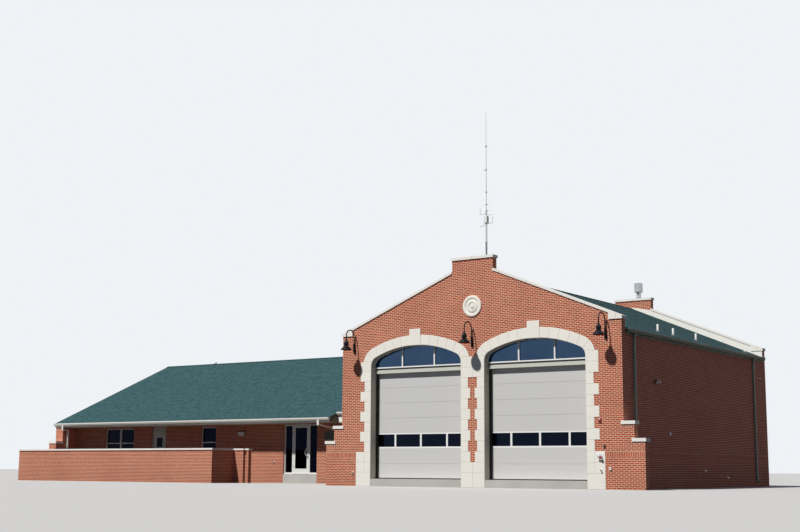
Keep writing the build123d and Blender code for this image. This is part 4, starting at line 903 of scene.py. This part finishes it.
on_ridge = Matrix.Translation((0, mast_y, bay_ridge_z + 0.030))
for hand in (-1, 1):
    tip = on_ridge @ Matrix.Rotation(hand * bay_slope.angle, 4, "Y")
    plate(metalwork, (min(0, hand * 0.15), -0.11, 0.0), (max(0, hand * 0.15), 0.11, 0.012), tip=tip)
for z, hand in clamps:
    tube(metalwork, [(-hand * 0.030, mast_y, z), (hand * 0.110, mast_y, z)], 0.011, 8)
    turned(metalwork, [(0.030, z - 0.03), (0.030, z + 0.03)], (0, mast_y, 0), sides=12)
for hand, z, tilt in arms:
    tube(metalwork, [(-arm_half, mast_y, z - hand * tilt), (arm_half, mast_y, z + hand * tilt)], 0.010, 8)
    feeler = [(hand * feeler_x, mast_y, z + tilt - 0.02), (hand * feeler_x, mast_y, z + tilt + 0.24)]
    tube(metalwork, feeler, 0.008, 8)
keep_mesh(metalwork, "mast_metalwork", galvanized, "mast_metal", "antenna_mast")
rod_profile = [(0.024, splice_z - 0.25), (0.024, splice_z + 0.05), (0.020, splice_z + 0.07),
               (0.016, 13.6), (0.013, 13.62), (0.009, rod_top - 0.01), (0.0, rod_top)]
turned(rod, rod_profile, (0, mast_y, 0), sides=12)
plate(rod, (-mast_box_half, mast_y - mast_box_half, mast_box_foot),
      (mast_box_half, mast_y + mast_box_half, mast_box_head), 0.012)
keep_mesh(rod, "mast_rod_and_box", rod_white, "mast_metal")


# The entrance. White aluminium frame with two sidelights and a glazed leaf; its bowed pull and its
# push bar are dull metal. The service door is a plain warm grey leaf in a frame of the same colour.
pull_x, pull_reach, leaf_face_y, bar_y = -12.7705, 0.150, 5.592, 5.642
white_alloy = (0.80, 0.81, 0.79)
dress(paint_finish("frame_coat", white_alloy, 0.4), "entrance_frame")
leaf_coat = paint_finish("leaf_coat", white_alloy, 0.4)
on_pull = (leaf_coat.y < leaf_face_y) * (leaf_coat.x > pull_x - pull_reach)
hardware = (on_pull + (leaf_coat.y > bar_y)).math("MINIMUM", 1.0)
leaf_tone = leaf_coat.mix(hardware, leaf_coat.coat, (0.33, 0.34, 0.33))
leaf_coat.give(base_color=leaf_tone, metallic=hardware * 0.8)
dress(leaf_coat, "entrance_door")
dress(paint_finish("service_coat", (0.50, 0.51, 0.45), 0.5), "service_door", "service_door_frame")


# The small things on the walls. Each is its own box or casting: alarm with a lens, key box, meter
# box, side box, louver, bulkhead light, twin flood light and five taps.
def prism(mesh, profile, x0, x1):
    """A block along the wing wall, from its outline by reach and height."""
    skin(mesh, [[mesh.verts.new((x, wing_y - reach, z)) for reach, z in profile] for x in (x0, x1)])


def on_front(mesh, x, z, half_x, half_z, front, ease, back=0.0):
    """A box on the front wall of the bay, round its middle, from back to front ahead of the brick."""
    plate(mesh, (x - half_x, brick_y - front, z - half_z), (x + half_x, brick_y - back, z + half_z), ease)


red_enamel = paint_finish("red_enamel", (0.34, 0.020, 0.025), 0.35)
pale_box = paint_finish("pale_box", (0.86, 0.86, 0.82), 0.5)
dark_box = paint_finish("dark_box", (0.10, 0.085, 0.068), 0.45)
lens_glass = paint_finish("lens_glass", (0.74, 0.74, 0.70), 0.2, gloss=0.5)
brass = Finish("brass", 0.4, 0.85)
brass.mottle(12.0, (0.36, 0.35, 0.31), (0.52, 0.50, 0.45))
side_x, wing_y = 6.320, 5.515
out_of_side = Matrix.Rotation(pi / 2, 4, "Y")
reds, pales, darks, lenses, brasses = (bmesh.new() for _ in range(5))
alarm_x, alarm_z, slit_count, slit_step = 5.402, 2.483, 4, 0.016
on_front(reds, alarm_x, alarm_z, 0.055, 0.080, 0.045, 0.008)
on_front(lenses, alarm_x, alarm_z + 0.037, 0.030, 0.028, 0.060, 0.006, 0.044)
for n in range(slit_count):
    on_front(reds, alarm_x, alarm_z - 0.063 + n * slit_step, 0.037, 0.004, 0.050, 0.001, 0.044)
key_x, key_z = 5.553, 1.554
on_front(darks, key_x, key_z, 0.045, 0.045, 0.050, 0.004)
on_front(darks, key_x, key_z, 0.037, 0.037, 0.060, 0.004, 0.049)
turned(brasses, [(0.012, 0.060), (0.012, 0.064)], (key_x, brick_y, key_z), out_of_front, sides=16)
meter_x, meter_z = 5.780, 0.742
on_front(pales, meter_x, meter_z, 0.0475, 0.0475, 0.048, 0.004)
on_front(pales, meter_x, meter_z + 0.0265, 0.040, 0.0165, 0.060, 0.006, 0.047)
side_box_y, side_box_z = 3.895, 2.080
for half, back, front in ((0.065, 0.0, 0.045), (0.053, 0.044, 0.060)):
    plate(pales, (side_x + back, side_box_y - half, side_box_z - half),
          (side_x + front, side_box_y + half, side_box_z + half), 0.006)

tap_r, tap_out, tap_drop, spout_out = 0.018, 0.090, 0.060, 0.060
tap_body = [
    (0.036, 0.0), (0.036, 0.006), (0.020, 0.012), (tap_r, 0.014), (tap_r, 0.050), (0.024, 0.054),
    (0.024, 0.066), (tap_r, 0.070), (0.010, 0.072), (0.010, tap_out - 0.006), (0.030, tap_out - 0.006),
    (0.032, tap_out - 0.003), (0.030, tap_out),
]
tap_spout = [(0.012, 0.0), (0.015, 0.002), (0.015, 0.016), (0.011, 0.018), (0.011, tap_drop)]
front_taps = ((-5.730, brick_y, 0.560), (5.420, face_y, 0.705), (-14.787, wing_y, 1.020))
side_taps = ((side_x, 7.315, 0.700), (side_x, 9.815, 0.420))
for place, out in [(p, out_of_front) for p in front_taps] + [(p, out_of_side) for p in side_taps]:
    turned(brasses, tap_body, place, out, sides=16)
    mouth = Vector(place) + out @ Vector((0, 0, spout_out)) - Vector((0, 0, tap_drop))
    turned(brasses, tap_spout, mouth, sides=12)

hood = [(0.0, 2.525), (0.105, 2.525), (0.150, 2.485), (0.150, 2.468), (0.030, 2.468), (0.030, 2.255),
        (0.0, 2.255)]
hood_lens = [(0.028, 2.470), (0.132, 2.470), (0.136, 2.404), (0.118, 2.336), (0.080, 2.284), (0.028, 2.262)]
prism(darks, hood, -17.070, -16.670)
prism(lenses, hood_lens, -17.045, -16.695)

flood_y, flood_z, flood_dip = 2.645, 4.000, radians(40)
flood_base = [(0.065, 0.0), (0.065, 0.035), (0.058, 0.043)]
turned(darks, flood_base, (side_x, flood_y, flood_z), out_of_side, sides=24)
for hand in (-1, 1):
    head = Vector((side_x + 0.125, flood_y + hand * 0.1105, flood_z))
    tube(darks, [(side_x + 0.030, flood_y + hand * 0.02, flood_z), head], 0.010, 8)
    tip = Matrix.Translation(head) @ Matrix.Rotation(flood_dip, 4, "Y")
    plate(darks, (-0.050, -0.065, -0.065), (0.040, 0.065, 0.065), 0.008, tip)
    plate(lenses, (0.038, -0.056, -0.056), (0.052, 0.056, 0.056), 0.008, tip)

louver_l, louver_r, louver_foot, louver_head, rim = -11.700, -11.090, 2.040, 2.450, 0.030
slat_count, slat_dip = 12, radians(40)
louver_paint = paint_finish("louver_paint", (0.12, 0.13, 0.11), 0.5)
louver_frame = bmesh.new()
for low, high in (((louver_l, louver_foot), (louver_r, louver_foot + rim)),
                  ((louver_l, louver_head - rim), (louver_r, louver_head)),
                  ((louver_l, louver_foot + rim), (louver_l + rim, louver_head - rim)),
                  ((louver_r - rim, louver_foot + rim), (louver_r, louver_head - rim))):
    plate(louver_frame, (low[0], wing_y - 0.025, low[1]), (high[0], wing_y, high[1]), 0.002)
plate(louver_frame, (louver_l + 0.02, wing_y - 0.004, louver_foot + 0.02),
      (louver_r - 0.02, wing_y, louver_head - 0.02), 0.001)
keep_mesh(louver_frame, "louver_frame", louver_paint, "fitting_metal", flat=True)
slat_rule = Rule("louver_slats", depth=0.024, thickness=0.0015)
slat_in = slat_rule.given.output
slat = slat_rule.sheet(louver_r - louver_l - 2 * rim, slat_in("depth"), slat_in("thickness"))
slats = slat_rule.on_points(slat, (slat_dip, 0.0, 0.0), (1.0, 1.0, 1.0))
slat_step = (louver_head - louver_foot - 2 * rim) / slat_count
slat_spots = [((louver_l + louver_r) / 2, wing_y - 0.013, louver_foot + rim + (n + 0.5) * slat_step)
              for n in range(slat_count)]
grow("louver_slats", slat_spots, slats, {}, louver_paint)
keep_mesh(reds, "alarm_case", red_enamel, "fitting_metal", "wall_fittings", flat=True)
keep_mesh(pales, "pale_boxes", pale_box, "fitting_metal")
keep_mesh(darks, "dark_boxes", dark_box, "fitting_metal", flat=True)
keep_mesh(lenses, "light_lenses", lens_glass, "fitting_metal", flat=True)
keep_mesh(brasses, "taps", brass, "fitting_metal")


# The fire inlet. A bright plate on the right jamb carries a twin casting, closed by a bright cap and
# a red one that are turned by their lugs.
inlet_x, inlet_z, inlet_gap, inlet_drop, lug_r, lug_turn = 5.396, 1.160, 0.052, 0.020, 0.040, 0.6
silver = Finish("silver", 0.28, 0.9)
silver.mottle(18.0, (0.55, 0.56, 0.56), (0.78, 0.78, 0.77))
casting, inlet_caps = bmesh.new(), bmesh.new()
inlet_plate = [(0.110, 0.0), (0.110, 0.010), (0.102, 0.018), (0.070, 0.020), (0.062, 0.030), (0.0, 0.034)]
branch = [(0.036, 0.02), (0.036, 0.075), (0.044, 0.080), (0.044, 0.098)]
inlet_cap = [(0.049, 0.096), (0.049, 0.124), (0.040, 0.132), (0.016, 0.134), (0.012, 0.140)]
turned(casting, inlet_plate, (inlet_x, face_y, inlet_z), out_of_front, 36)
for hand, cap_mesh in ((-1, casting), (1, inlet_caps)):
    at = Vector((inlet_x + hand * inlet_gap, face_y, inlet_z - hand * inlet_drop))
    turned(casting, branch, at, out_of_front, 24)
    turned(cap_mesh, inlet_cap, at, out_of_front, 24)
    for turn_by in (lug_turn, lug_turn + pi):
        outward = Vector((cos(turn_by), 0, sin(turn_by)))
        lug = at + Vector((0, -0.110, 0)) + outward * lug_r
        tube(cap_mesh, [lug, lug + outward * 0.012], 0.006, 8)
keep_mesh(casting, "inlet_casting", silver, "fitting_metal", "fire_inlet")
keep_mesh(inlet_caps, "inlet_caps", red_enamel, "fitting_metal")


# The floor slabs. Trowelled concrete, poured on fill inside the walls, one in the bay and one in the
# wing. From outside they show only at the thresholds.
slab = Finish("slab", 0.8, gloss=0.3)
slab.mottle(1.3, (0.42, 0.41, 0.38), (0.60, 0.59, 0.56), 5.0)
slab.bump(slab.noise(30.0), 0.2, 0.003)
dress(slab, "bay_floor", "wing_floor")
